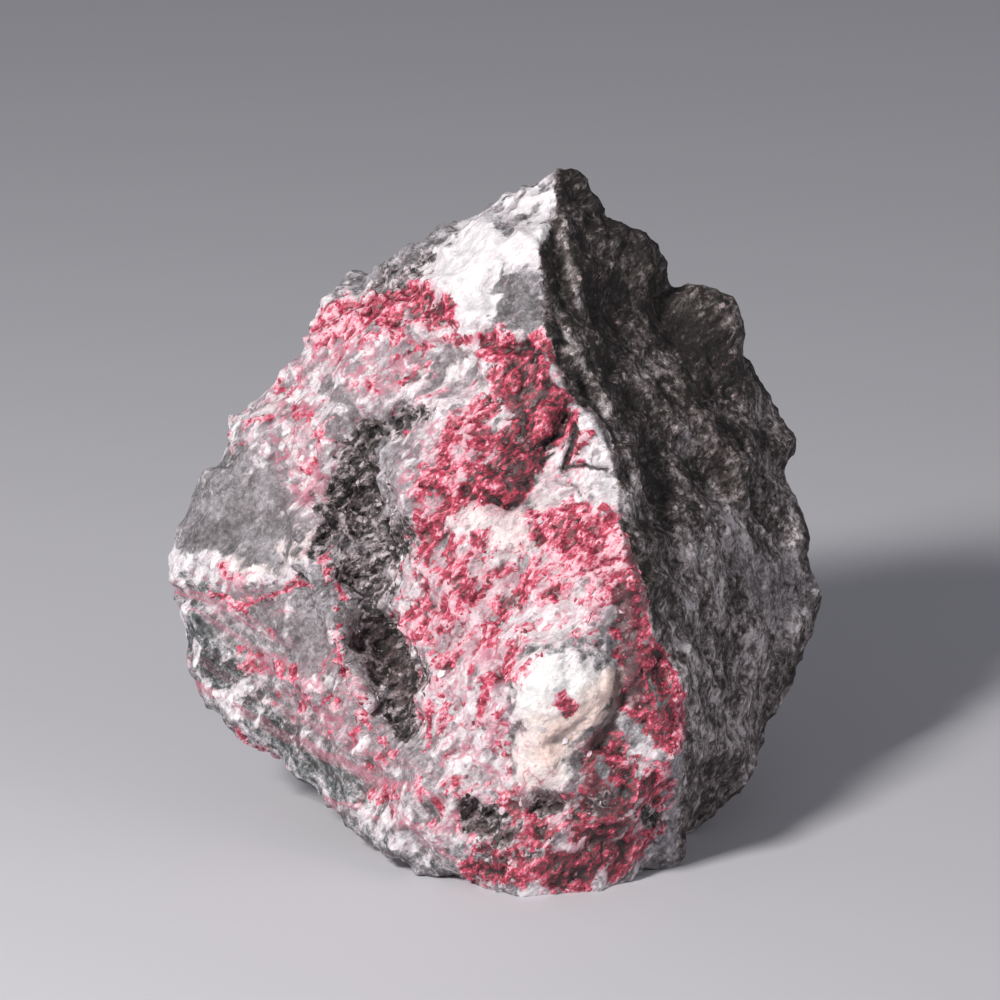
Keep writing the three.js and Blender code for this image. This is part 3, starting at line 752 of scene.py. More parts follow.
class MineralMap:
    """Says what the skin is made of, and where shade is painted on it, from the front's patches and from veins that
    run right through.
    """

    BROAD_PUSH = (5.0, 1.3)
    FINE_PUSH = (1.8, 1.0, 9.0)
    FINE_PUSH_SHARE = 0.6
    FOLD_PUSH = (5.0, 1.0)
    PUSH_OF = {Mineral.CRACK: 0.15, Mineral.RUST: 0.3}
    CREST_PUSH = 0.3
    FACING = (-0.35, 0.05)
    CREST_EDGE = (-0.2, 0.9)
    CLAST_HIDES = 0.85
    MOST_SHARE = 1.25
    HIGH = (45.0, 82.0)
    GLOOM = 0.62
    GLOOM_HIGH = 0.48
    GLOOM_DARKER = 0.5
    GLOOM_LIGHTER = 0.6
    GLOOM_RIBS = 0.72
    GLOOM_LEAST = 0.06
    GLOOM_BEHIND = 0.2
    MOTTLE_LAYERS = 3
    BROAD_VEIN, BROAD_VEIN_EDGE = 34.0, (0.05, 0.16)
    THIN_VEIN, THIN_VEIN_EDGE, THIN_VEIN_SHIFT, THIN_VEIN_SHARE = 17.0, (0.015, 0.06), 90.0, 0.8
    CLOUD, CLOUD_EDGE, CLOUD_SHIFT = 24.0, (0.35, 0.75), 50.0
    RED_EDGE, RED_DOTS, RED_DOTS_EDGE = (0.5, 0.85), 9.0, (0.0, 0.5)
    VEIN_CALCITE, CLOUD_CALCITE, BACK_CINNABAR = 0.8, 0.6, 0.9
    DRIFT_LAYERS = 4
    DRIFT = 2.8
    SWAY, SWAY_SHIFT = 1.9, 19.0
    SURE, SURE_EDGE = 0.75, (0.8, 1.0)
    PRESENT_EDGE = (0.02, 0.12)
    FOLD_BEND = 0.35
    FOLD_REACH = 2.6

    def __init__(self, face: FaceOn) -> None:
        """Keeps the plane that the patches lie on and draws the noise."""
        self.face = face
        self._ragged = Noise(11)
        self._veins = Noise(21)
        self._mottle = Noise(22)

    def beside_crest(self, at: Points) -> Points:
        """How far to the right of the crest each point lies, in millimetres."""
        rights, ups = zip(*CREST)
        return at[:, 0] - np.interp(at[:, 1], ups, rights)

    def facing(self, normals: Points) -> Points:
        """How much each part of the skin belongs to the front, from 0 to 1."""
        return eased(-(normals @ self.face.inward()), *self.FACING)

    def _push(self, points: Points, size: float, reach: float, shift: float = 0.0) -> Points:
        """How far ragged noise moves places on the plane.

        Args:
            points: rows of x, y, z in millimetres.
            size: distance between swells.
            reach: how far a place may move.
            shift: picks another part of the noise.

        Returns:
            Rows of right, up.
        """
        return self._ragged.warped(points + shift, size, reach)[:, [0, 2]] - points[:, [0, 2]] - shift

    def shares(self, points: Points, normals: Points) -> dict[Mineral, Points]:
        """How much of each mineral there is round each point of the skin.

        Args:
            points: rows of x, y, z in millimetres.
            normals: the skin's broad directions there.

        Returns:
            For each mineral, one value for each point: 0 for none, 1 for full, a little more where it is darkest.
        """
        laid = self.face.lay_out(points)
        push = self._push(points, *self.BROAD_PUSH)
        push += self.FINE_PUSH_SHARE * self._push(points, *self.FINE_PUSH)
        facing = self.facing(normals)
        crusted = 1.0 - eased(self.beside_crest(laid + self.CREST_PUSH * push), *self.CREST_EDGE)
        front = facing * crusted
        made: dict[Mineral, Points] = {}
        pure = tuple(patch for patch in PATCHES[Mineral.CALCITE] if patch.amount == 1.0)
        common = 1.0 - self._most(pure, laid + push)
        for mineral, patches in PATCHES.items():
            drawn = self._most(patches, laid + self.PUSH_OF.get(mineral, 1.0) * push)
            ground = common * self._most(GROUNDS.get(mineral, ()), laid + push)
            made[mineral] = front * np.maximum(drawn, ground)
        made[Mineral.CALM] = front * (1.0 - common)
        for mineral in (Mineral.CALCITE, Mineral.CINNABAR, Mineral.NET, Mineral.CALM):
            made[mineral] = made[mineral] * (1.0 - self.CLAST_HIDES * made[Mineral.CLAST])
        self._add_veins(made, points, 1.0 - facing)
        dark = facing * (1.0 - crusted)
        made[Mineral.GLOOM] = dark * self._gloom(laid, push) + self.GLOOM_BEHIND * (1.0 - facing)
        return {mineral: np.clip(share, 0.0, self.MOST_SHARE) for mineral, share in made.items()}

    def _gloom(self, laid: Points, push: Points) -> Points:
        """How dark the hackly break is.

        Args:
            laid: rows of right, up.
            push: how far ragged noise moves them.

        Returns:
            One value for each place.
        """
        high = eased(laid[:, 1], *self.HIGH)
        darker = self.GLOOM_DARKER * self._most(DARKER_BREAK, laid + push)
        tone = darker - self.GLOOM_LIGHTER * self._most(LIGHTER_BREAK, laid + push)
        ribs = 1.0 - self.GLOOM_RIBS * self._most(RIBS, laid + self.CREST_PUSH * push)
        gloom = np.minimum(self.GLOOM + self.GLOOM_HIGH * high + tone, self.MOST_SHARE) * ribs
        return np.maximum(gloom, self.GLOOM_LEAST)

    @staticmethod
    def _most(patches: tuple[Patch, ...], places: Points) -> Points:
        """The largest share that any of the patches gives."""
        drawn = np.zeros(len(places))
        for patch in patches:
            drawn = np.maximum(drawn, patch.share(places))
        return drawn

    def _add_veins(self, made: dict[Mineral, Points], points: Points, behind: Points) -> None:
        """Runs calcite veins and cinnabar stringers over the back.

        Args:
            made: the shares so far, which it adds to.
            points: rows of x, y, z in millimetres.
            behind: how much of each point belongs to the back.
        """
        layers = self.MOTTLE_LAYERS
        broad = np.abs(self._veins.layered(points, self.BROAD_VEIN, layers))
        thin = np.abs(self._veins.layered(points + self.THIN_VEIN_SHIFT, self.THIN_VEIN, layers))
        clouds = self._mottle.layered(points + self.CLOUD_SHIFT, self.CLOUD, layers)
        dots = eased(self._mottle.layered(points, self.RED_DOTS, layers), *self.RED_DOTS_EDGE)
        thin = self.THIN_VEIN_SHARE * (1.0 - eased(thin, *self.THIN_VEIN_EDGE))
        vein = np.maximum(1.0 - eased(broad, *self.BROAD_VEIN_EDGE), thin)
        pale = np.maximum(self.VEIN_CALCITE * vein, self.CLOUD_CALCITE * eased(clouds, *self.CLOUD_EDGE))
        red = eased(clouds, *self.RED_EDGE) * dots
        made[Mineral.CALCITE] = np.maximum(made[Mineral.CALCITE], behind * pale)
        made[Mineral.CINNABAR] = np.maximum(made[Mineral.CINNABAR], behind * self.BACK_CINNABAR * red)

    def settle(self, shares: dict[Mineral, Points], points: Points, cells: Cells) -> dict[Mineral, Points]:
        """Turns the shares of cinnabar, calcite and soot into grains that are one or the other.

        Args:
            shares: how much of each mineral there is round each point.
            points: rows of x, y, z in millimetres.
            cells: the cells of the break.

        Returns:
            The same minerals, with those three near 0 or 1 in each grain.
        """
        drawn = points @ GROWTH
        sways = {
            "drift": self._mottle.layered(drawn, self.DRIFT, self.DRIFT_LAYERS),
            "sway": self._mottle.layered(drawn + self.SWAY_SHIFT, self.SWAY, self.DRIFT_LAYERS),
            "clump own": cells.clumps.own - 0.5,
            "clump other": cells.clumps.other - 0.5,
            "grain own": cells.grains.own - 0.5,
            "grain other": cells.grains.other - 0.5,
        }
        settled = dict(shares)
        for mineral, way in SETTLINGS.items():
            chance = sum(weight * sways[name] for name, weight in way.sways.items())
            sure = 1.0 - self.SURE * eased(shares[mineral], *self.SURE_EDGE)
            present = eased(shares[mineral], *self.PRESENT_EDGE)
            settled[mineral] = present * eased(shares[mineral] + sure * chance, 0.5 - way.soft, 0.5 + way.soft)
        return settled

    def folds(self, points: Points, normals: Points) -> Points:
        """Height of the front's ridges, lumps and grooves.

        Args:
            points: rows of x, y, z in millimetres.
            normals: the skin's broad directions there.

        Returns:
            Millimetres at each point.
        """
        laid = self.face.lay_out(points)
        push = self._push(points, *self.FOLD_PUSH)
        total = np.zeros(len(points))
        for fold in FOLDS:
            bend = min(1.0, self.FOLD_BEND * fold.half)
            away = fold.away(laid + bend * push, self.FOLD_REACH * fold.half) / fold.half
            total += fold.amount * np.exp(-(away**2))
        return total * self.facing(normals)


# ---- The skin ------------------------------------------------------------------------------------------------


def linked(name: str, mesh: bpy.types.Mesh) -> bpy.types.Object:
    """An object at the origin that holds a mesh.

    Args:
        name: the object's name, which the mesh takes too.
        mesh: its mesh.

    Returns:
        The object, linked to the scene.
    """
    mesh.name = name
    piece = bpy.data.objects.new(name, mesh)
    bpy.context.scene.collection.objects.link(piece)
    return piece


def baked(piece: bpy.types.Object) -> bpy.types.Mesh:
    """A new mesh with the piece's modifiers applied."""
    evaluated = piece.evaluated_get(bpy.context.evaluated_depsgraph_get())
    return bpy.data.meshes.new_from_object(evaluated)


def write_attribute(mesh: bpy.types.Mesh, name: str, values: Points) -> None:
    """Stores one number for each vertex.

    Args:
        mesh: the mesh.
        name: the attribute's name, which the finish reads.
        values: one value for each vertex.
    """
    layer = mesh.attributes.new(name, "FLOAT", "POINT")
    layer.data.foreach_set("value", np.ascontiguousarray(values, dtype=np.float32))


def read_attribute(mesh: bpy.types.Mesh, name: str) -> Points:
    """The numbers stored for the vertices under a name."""
    values = np.empty(len(mesh.vertices), dtype=np.float32)
    mesh.attributes[name].data.foreach_get("value", values)
    return values


@dataclass
class Skin:
    """A mesh's vertices and edges as arrays, in millimetres."""

    points: Points
    edges: Points
    normals: Points

    @classmethod
    def of(cls, mesh: bpy.types.Mesh) -> "Skin":
        """Reads a mesh that is in metres."""
        points = np.empty(3 * len(mesh.vertices))
        normals = np.empty(3 * len(mesh.vertices))
        edges = np.empty(2 * len(mesh.edges), dtype=np.int32)
        mesh.vertices.foreach_get("co", points)
        mesh.vertices.foreach_get("normal", normals)
        mesh.edges.foreach_get("vertices", edges)
        return cls(points.reshape(-1, 3) / MM, edges.reshape(-1, 2), normals.reshape(-1, 3))

    def averaged(self, values: Points, rounds: int) -> Points:
        """Values blurred along the mesh's edges.

        Args:
            values: a row for each vertex.
            rounds: how many times to average with the neighbours.

        Returns:
            The blurred rows.
        """
        first, second = self.edges.T
        count = np.bincount(self.edges.ravel(), minlength=len(values))[:, None]
        blurred = values.reshape(len(values), -1).astype(float)
        for _ in range(rounds):
            around = np.column_stack([
                np.bincount(first, column[second], len(column)) + np.bincount(second, column[first], len(column))
                for column in blurred.T
            ])
            blurred = 0.5 * blurred + 0.5 * around / count
        return blurred.reshape(values.shape)


@dataclass
class Carving:
    """How the smaller break of each mineral is cut, in millimetres."""

    seed: int = 32
    swell: float = 0.16
    clast_calms: float = 0.1
    swell_size: float = 6.0
    swell_layers: int = 4
    pit_size: float = 2.4
    pit_layers: int = 3
    pit_edge: Band = (0.2, 0.7)
    pits: dict[str, float] = field(default_factory=lambda: {"cinnabar": 0.6, "soot": 0.8, "crust": 0.2})
    stands: dict[str, float] = field(default_factory=lambda: {"cinnabar": 0.2, "calcite": 0.15})

    def rise(self, points: Points, weights: dict[str, Points], cells: Cells) -> Points:
        """How far the skin stands out.

        Args:
            points: rows of x, y, z in millimetres.
            weights: how much of each sort of break there is.
            cells: the cells of the break.

        Returns:
            Millimetres along each normal.
        """
        noise = Noise(self.seed)
        swell = self.swell - self.clast_calms * weights["clast"]
        rise = swell * noise.layered(points, self.swell_size, self.swell_layers)
        for scale in ("clumps", "grains"):
            tilt = sum(weights[name] * getattr(BREAKS[name], scale)[0] for name in BREAKS)
            step = sum(weights[name] * getattr(BREAKS[name], scale)[1] for name in BREAKS)
            rise += getattr(cells, scale).rise(tilt, step)
        pits = eased(noise.layered(points, self.pit_size, self.pit_layers), *self.pit_edge)
        rise -= sum(depth * weights[name] for name, depth in self.pits.items()) * pits
        return rise + sum(height * weights[name] for name, height in self.stands.items())


@dataclass
class Rock:
    """The lump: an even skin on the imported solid, carved with each mineral's break. Its sizes are millimetres."""

    minerals: MineralMap
    voxel: float = 0.42
    weld: float = 0.001
    soften_rounds: int = 10
    broad_rounds: int = 50
    blur_rounds: int = 2
    knife_edge: Band = (0.35, 0.7)
    smooth_calms: float = 0.45
    smooth_rounds: int = 6
    foot_band: float = 0.25
    foot_facing: float = -0.7
    flatness: float = 0.8
    gloom_keeps: float = 0.55
    gloom_edge: Band = (0.22, 0.4)
    hackly_edge: Band = (0.02, 0.2)
    face_reaches: Band = (1.2, 0.7)
    fine_behind: float = 0.25
    fold_edge: Band = (0.0, 0.3)
    crack_depth: float = 0.8
    relief_rounds: int = 6
    relief_height: float = 0.25
    hollow_rounds: int = 40
    hollow_depth: float = 0.9
    triangles: int = 198_000
    sharp_degrees: float = 38.0
    carving: Carving = field(default_factory=Carving)
    piece: bpy.types.Object = field(init=False)

    def build(self) -> None:
        """Makes the skin, carves it, stores what the finish reads and thins it."""
        mesh = self._even_skin()
        skin = Skin.of(mesh)
        foot = (skin.points[:, 2] < self.foot_band) & (skin.normals[:, 2] < self.foot_facing)
        soft = skin.averaged(skin.points, self.soften_rounds)
        soft[foot] = skin.points[foot]
        broad = skin.averaged(skin.normals, self.broad_rounds)
        firm = eased(lengths(broad), *self.knife_edge)
        broad = unit(broad)
        shares = self.minerals.shares(soft, broad)
        firm = firm * (1.0 - self.smooth_calms * skin.averaged(shares[Mineral.SMOOTH], self.smooth_rounds))
        cells = Cells.over(soft)
        settled = self.minerals.settle(shares, soft, cells)
        hackly = self.gloom_keeps * eased(shares[Mineral.GLOOM], *self.gloom_edge)
        flat = np.where(foot, 0.0, self.flatness * firm * (1.0 - hackly))
        folded = soft
        for faces, reach in zip(cells.faces, self.face_reaches):
            folded = faces.flattened(folded, broad, flat, reach)
        folded = skin.averaged(folded, self.blur_rounds)
        folded[foot] = soft[foot]
        weights = self._weights(skin, settled)
        fine = self.fine_behind + (1.0 - self.fine_behind) * self.minerals.facing(broad)
        rise = firm * self._scooped(weights, cells, fine)
        rise += firm * fine * skin.averaged(self.carving.rise(soft, weights, cells), 1)
        rise += eased(firm, *self.fold_edge) * self.minerals.folds(soft, broad)
        rise = np.where(foot, 0.0, rise - self.crack_depth * settled[Mineral.CRACK])
        carved = folded + broad * rise[:, None]
        carved[:, 2] = np.where(foot, 0.0, np.maximum(carved[:, 2], 0.0))
        mesh.vertices.foreach_set("co", (carved * MM).ravel())
        mesh.update()
        shares = self.minerals.shares(carved, broad)
        self._store(mesh, shares, self.minerals.settle(shares, soft, cells))
        # The finish reads relief and hollow to paint light on ridges and shade in hollows.
        near = ((carved - skin.averaged(carved, self.relief_rounds)) * broad).sum(axis=1)
        far = ((carved - skin.averaged(carved, self.hollow_rounds)) * broad).sum(axis=1)
        write_attribute(mesh, "relief", np.clip(near / self.relief_height, -1.0, 1.0))
        write_attribute(mesh, "hollow", np.clip(-far / self.hollow_depth, -1.0, 1.0))
        self.piece = linked("rough_cinnabar_rock", mesh)
        self._thin()

    @staticmethod
    def _store(mesh: bpy.types.Mesh, shares: dict[Mineral, Points], settled: dict[Mineral, Points]) -> None:
        """Stores the minerals for the finish.

        Args:
            mesh: the carved skin.
            shares: how much of each mineral there is round each vertex.
            settled: how much of each there is in each grain.
        """
        for mineral, share in settled.items():
            write_attribute(mesh, mineral.value, share)
        write_attribute(mesh, "stain", shares[Mineral.CINNABAR])

    def _even_skin(self) -> bpy.types.Mesh:
        """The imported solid's shape as an even mesh of small quads, in metres."""
        blank = linked("blank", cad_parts[NODE].data.copy())
        bm = bmesh.new()
        bm.from_mesh(blank.data)
        bmesh.ops.remove_doubles(bm, verts=bm.verts, dist=self.weld * MM)
        bm.to_mesh(blank.data)
        bm.free()
        remesh = blank.modifiers.new("even", "REMESH")
        remesh.mode = "VOXEL"
        remesh.voxel_size = self.voxel * MM
        mesh = baked(blank)
        mesh.materials.clear()
        bpy.data.objects.remove(blank)
        return mesh

    def _thin(self) -> None:
        """Merges triangles where the skin is flattest, keeps them off the floor and marks the sharp edges."""
        mesh = self.piece.data
        mesh.calc_loop_triangles()
        thin = self.piece.modifiers.new("thin", "DECIMATE")
        thin.ratio = min(1.0, self.triangles / len(mesh.loop_triangles))
        self.piece.data = baked(self.piece)
        self.piece.modifiers.clear()
        self.piece.data.name = self.piece.name
        bpy.data.meshes.remove(mesh)
        for vertex in self.piece.data.vertices:
            vertex.co.z = max(vertex.co.z, 0.0)
        self.piece.data.set_sharp_from_angle(angle=math.radians(self.sharp_degrees))

    def _weights(self, skin: Skin, settled: dict[Mineral, Points]) -> dict[str, Points]:
        """How much of each sort of break there is.

        Args:
            skin: the skin, along which they are blurred a little.
            settled: how much of each mineral there is in each grain.

        Returns:
            Shares that add up to 1 at each point.
        """
        soot = settled[Mineral.SOOT]
        hackly = eased(settled[Mineral.GLOOM], *self.hackly_edge) * (1.0 - soot)
        left = np.clip(1.0 - soot - hackly, 0.0, 1.0)
        clast = left * settled[Mineral.CLAST]
        left = left - clast
        cinnabar = left * settled[Mineral.CINNABAR]
        calcite = (left - cinnabar) * settled[Mineral.CALCITE]
        made = {
            "crust": left - cinnabar - calcite, "cinnabar": cinnabar, "calcite": calcite,
            "clast": clast, "soot": soot, "hackly": hackly,
        }
        return {name: skin.averaged(share, self.blur_rounds) for name, share in made.items()}

    @staticmethod
    def _scooped(weights: dict[str, Points], cells: Cells, fine: Points) -> Points:
        """How far the skin stands out for the dishes of each mineral's break.

        Args:
            weights: how much of each sort of break there is.
            cells: the cells of the break.
            fine: how deep the smallest dishes are, from 0 to 1.

        Returns:
            Millimetres along each normal.
        """
        rise = fine * cells.chips * sum(weights[name] * BREAKS[name].chips for name in BREAKS)
        for scale, scoop in enumerate(cells.scoops):
            rise += scoop * sum(weights[name] * BREAKS[name].scoops[scale] for name in BREAKS)
        return rise

    def dress(self, finish: bpy.types.Material) -> None:
        """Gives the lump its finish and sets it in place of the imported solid."""
        self.piece.data.materials.append(finish)
        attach(self.piece, BODY)
        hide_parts(NODE)


# ---- The grains ----------------------------------------------------------------------------------------------


class GrainMineral(Enum):
    """What the standing crystals are made of."""

    CINNABAR = "cinnabar"
    CALCITE = "calcite"
    SOOT = "soot"


@dataclass(frozen=True)
class GrainKind:
    """One sort of small crystal that stands out of the skin, with sizes in millimetres."""

    name: str
    seed: int
    tries: int
    spacing: float
    middle_size: float
    spread: float
    largest: float
    corners: int
    sunk: float
    flatness: float


GRAIN_KINDS: dict[GrainMineral, GrainKind] = {
    GrainMineral.CINNABAR: GrainKind(
        "cinnabar_crystals", seed=41, tries=60000, spacing=0.8, middle_size=0.95, spread=0.4, largest=2.3,
        corners=9, sunk=0.36, flatness=0.25,
    ),
    GrainMineral.CALCITE: GrainKind(
        "calcite_crystals", seed=42, tries=22000, spacing=1.3, middle_size=1.1, spread=0.4, largest=2.3,
        corners=9, sunk=0.42, flatness=0.45,
    ),
    GrainMineral.SOOT: GrainKind(
        "sooty_grains", seed=43, tries=26000, spacing=0.75, middle_size=0.9, spread=0.35, largest=1.8,
        corners=8, sunk=0.34, flatness=0.3,
    ),
}


class GrainCrust:
    """Small crystals half sunk in the skin, joined in one mesh."""

    SHAPES = 10
    CORNER_REACH = (0.8, 1.1)
    CROWDING = 1.2
    SMALLEST = 0.4
    SUNK_SPREAD = 0.12

    def __init__(self, rock: Rock, kind: GrainKind, density: Points, tints: dict[str, Points]) -> None:
        """Keeps what the crystals grow on.

        Args:
            rock: the lump.
            kind: the sort of crystal.
            density: how thickly they stand, from 0 to 1, for each vertex of the skin.
            tints: numbers from 0 to 1 that they take from the skin, by the name they are stored under.
        """
        self.rock = rock
        self.kind = kind
        self.density = density
        self.tints = tints
        self.rng = np.random.default_rng(kind.seed)

    def _crystals(self) -> list[tuple[Points, Points]]:
        """A few angular crystals about one across.

        Returns:
            Corners and triangles of each shape.
        """
        made = []
        for _ in range(self.SHAPES):
            bm = bmesh.new()
            for corner in unit(self.rng.normal(size=(self.kind.corners, 3))):
                bm.verts.new(0.5 * corner * self.rng.uniform(*self.CORNER_REACH))
            hull = bmesh.ops.convex_hull(bm, input=bm.verts)
            inside = [item for item in hull["geom_interior"] if isinstance(item, bmesh.types.BMVert)]
            bmesh.ops.delete(bm, geom=inside, context="VERTS")
            bmesh.ops.recalc_face_normals(bm, faces=bm.faces)
            bm.verts.index_update()
            corners = np.array([vert.co[:] for vert in bm.verts])
            made.append((corners, np.array([[vert.index for vert in face.verts] for face in bm.faces])))
            bm.free()
        return made

    def _seats(self) -> tuple[Points, Points, dict[str, Points]]:
        """Places on the skin, thinned so that no two share a small cell.

        Returns:
            Where each crystal sits, the skin's direction there, and its tints.
        """
        mesh = self.rock.piece.data
        mesh.calc_loop_triangles()
        corners = np.empty(3 * len(mesh.loop_triangles), dtype=np.int32)
        mesh.loop_triangles.foreach_get("vertices", corners)
        corners = corners.reshape(-1, 3)
        skin = Skin.of(mesh)
        a, b, c = (skin.points[corners[:, k]] for k in range(3))
        weight = lengths(np.cross(b - a, c - a)) * self.density[corners].mean(axis=1) ** self.CROWDING
        pick = self.rng.choice(len(corners), self.kind.tries, p=weight / weight.sum())
        u, v = self.rng.random((2, self.kind.tries))
        flip = u + v > 1.0
        u, v = np.where(flip, 1.0 - u, u), np.where(flip, 1.0 - v, v)
        at = a[pick] + u[:, None] * (b - a)[pick] + v[:, None] * (c - a)[pick]
        cell = np.floor(at / self.kind.spacing).astype(int)
        keep = np.sort(np.unique(cell, axis=0, return_index=True)[1])
        seated = corners[pick[keep]]
        tints = {name: tint[seated].mean(axis=1) for name, tint in self.tints.items()}
        return at[keep], unit(skin.normals[seated].mean(axis=1)), tints

    def build(self) -> bpy.types.Object:
        """Grows the crystals.

        Returns:
            The joined piece.
        """
        shapes = self._crystals()
        at, up, tints = self._seats()
        count = len(at)
        drawn = self.kind.middle_size * np.exp(self.kind.spread * self.rng.normal(size=count))
        size = np.clip(drawn, self.SMALLEST * self.kind.middle_size, self.kind.largest)
        turn = unit(self.rng.normal(size=(count, 4)))
        which = self.rng.integers(self.SHAPES, size=count)
        tints["tone"] = self.rng.random(count)
        depth = self.kind.sunk + self.SUNK_SPREAD * self.rng.normal(size=count)
        points, faces, stored = [], [], {name: [] for name in tints}
        base = 0
        for shape, (corners, triangles) in enumerate(shapes):
            mine = np.flatnonzero(which == shape)
            turned = self._turned(corners, turn[mine]) * size[mine, None, None]
            height = np.einsum("nvk,nk->nv", turned, up[mine])
            turned -= (self.kind.flatness * height)[:, :, None] * up[mine][:, None, :]
            seat = at[mine] - (depth[mine] * size[mine])[:, None] * up[mine]
            points.append((turned + seat[:, None, :]).reshape(-1, 3))
            start = base + len(corners) * np.arange(len(mine))
            faces.append((triangles[None] + start[:, None, None]).reshape(-1, 3))
            for name, tint in tints.items():
                stored[name].append(np.repeat(tint[mine], len(corners)))
            base += len(corners) * len(mine)
        where = np.concatenate(points)
        where[:, 2] = np.maximum(where[:, 2], 0.0)
        mesh = bpy.data.meshes.new(self.kind.name)
        mesh.from_pydata(where * MM, [], np.concatenate(faces))
        for name, parts in stored.items():
            write_attribute(mesh, name, np.concatenate(parts))
        mesh.update()
        return linked(self.kind.name, mesh)

    @staticmethod
    def _turned(corners: Points, turns: Points) -> Points:
        """Corners turned by each of many quaternions.

        Args:
            corners: rows of x, y, z.
            turns: rows of w, x, y, z.

        Returns:
            For each turn, the turned corners.
        """
        w, axis = turns[:, 0], turns[:, 1:]
        cross = np.cross(axis[:, None, :], corners[None])
        again = np.cross(axis[:, None, :], cross)
        return corners[None] + 2.0 * (w[:, None, None] * cross + again)


@dataclass(frozen=True)
class GrainCover:
    """Where the three crusts of grains stand."""

    rock: Rock
    soot_clears: Band = (0.3, 0.6)
    gloom_clears: Band = (0.22, 0.3)
    cinnabar_edge: Band = (0.4, 0.9)
    calcite_edge: Band = (0.5, 0.9)
    soot_edge: Band = (0.45, 0.85)
    clast_bares: float = 0.9
    unstained: float = 0.1
    stain_edge: Band = (0.1, 0.5)

    def _densities(self, share: dict[Mineral, Points], stain: Points) -> dict[GrainMineral, Points]:
        """How thickly each sort of grain stands.

        Args:
            share: how much of each mineral there is at each vertex.
            stain: how much cinnabar is near.

        Returns:
            For each sort, one value from 0 to 1 for each vertex.
        """
        clear = 1.0 - eased(share[Mineral.SOOT], *self.soot_clears)
        clear *= 1.0 - eased(share[Mineral.GLOOM], *self.gloom_clears)
        cinnabar = eased(share[Mineral.CINNABAR], *self.cinnabar_edge) * clear
        calcite = eased(share[Mineral.CALCITE], *self.calcite_edge) * (1.0 - cinnabar) * clear
        near = self.unstained + (1.0 - self.unstained) * eased(stain, *self.stain_edge)
        calcite *= (1.0 - self.clast_bares * share[Mineral.CLAST]) * near * (1.0 - share[Mineral.SMOOTH])
        soot = eased(share[Mineral.SOOT], *self.soot_edge)
        return {GrainMineral.CINNABAR: cinnabar, GrainMineral.CALCITE: calcite, GrainMineral.SOOT: soot}

    def build(self) -> list[bpy.types.Object]:
        """Sets the crusts on the lump.

        Returns:
            The joined pieces.
        """
        mesh = self.rock.piece.data
        share = {mineral: read_attribute(mesh, mineral.value) for mineral in Mineral}
        stain = read_attribute(mesh, "stain")
        densities = self._densities(share, stain)
        made = []
        for mineral, kind in GRAIN_KINDS.items():
            # Soot grains take the murk and the others the deep crimson, both partly painted shade.
            deep = share[Mineral.MURK if mineral is GrainMineral.SOOT else Mineral.DEEP]
            tints = {"tint": stain, "deep": deep, "rich": share[Mineral.CINNABAR]}
            piece = GrainCrust(self.rock, kind, densities[mineral], tints).build()
            piece.data.materials.append(GrainFinish(mineral).material())
            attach(piece, BODY)
            made.append(piece)
        return made


# ---- Shader arithmetic ---------------------------------------------------------------------------------------


class Signal:
    """A shader socket that can stand in arithmetic."""

    def __init__(self, graph: "Graph", socket: bpy.types.NodeSocket) -> None:
        """Wraps a node's output."""
        self.graph = graph
        self.socket = socket

    def _math(self, operation: str, *values: "Signal | float") -> "Signal":
        """The result of one Math node."""
        return self.graph.add("ShaderNodeMath", {"operation": operation}, dict(enumerate(values)))

    def __add__(self, other: "Signal | float") -> "Signal":
        """This plus another."""
        return self._math("ADD", self, other)

    def __radd__(self, other: float) -> "Signal":
        """A number plus this."""
        return self._math("ADD", other, self)

    def __sub__(self, other: "Signal | float") -> "Signal":
        """This less another."""
        return self._math("SUBTRACT", self, other)

    def __rsub__(self, other: float) -> "Signal":
        """A number less this."""
        return self._math("SUBTRACT", other, self)

    def __mul__(self, other: "Signal | float") -> "Signal":
        """This times another."""
        return self._math("MULTIPLY", self, other)

    def __rmul__(self, other: float) -> "Signal":
        """A number times this."""
        return self._math("MULTIPLY", other, self)

    def highest(self, other: "Signal | float") -> "Signal":
        """The larger of this and another."""
        return self._math("MAXIMUM", self, other)

    def size(self) -> "Signal":
        """This without its sign."""
        return self._math("ABSOLUTE", self)

    def clamped(self) -> "Signal":
        """This kept between 0 and 1."""
        return self.graph.add("ShaderNodeClamp", {}, {"Value": self})

    def rising(self, low: float, high: float) -> "Signal":
        """Rises smoothly from 0 at low to 1 at high."""
        settings = {"interpolation_type": "SMOOTHSTEP"}
        return self.graph.add("ShaderNodeMapRange", settings, {"Value": self, "From Min": low, "From Max": high})

    def part(self, index: int) -> "Signal":
        """One channel of a colour."""
        return self.graph.add("ShaderNodeSeparateColor", {}, {"Color": self}, index)


Signals = dict[str, Signal]
Sockets = dict[str | int, object]


@dataclass(frozen=True)
class Recipe:
    """A level: where it starts, and how strongly each named signal moves it."""

    start: float
    weights: dict[str, float]

    def level(self, signals: Signals) -> Signal:
        """The sum for a set of signals."""
        return sum((signals[name] * weight for name, weight in self.weights.items()), self.start)


@dataclass(frozen=True)
class Onset:
    """Where something begins: a level, the band in which it fades in, and its most."""

    recipe: Recipe
    band: Band
    most: float = 1.0

    def share(self, signals: Signals) -> Signal:
        """How much of it there is, for a set of signals."""
        return self.recipe.level(signals).rising(*self.band) * self.most


@dataclass(frozen=True)
class Mottle:
    """One noise: the distance between its swells in millimetres, and its finer layers."""

    size: float
    detail: float
    rough: float = 0.55


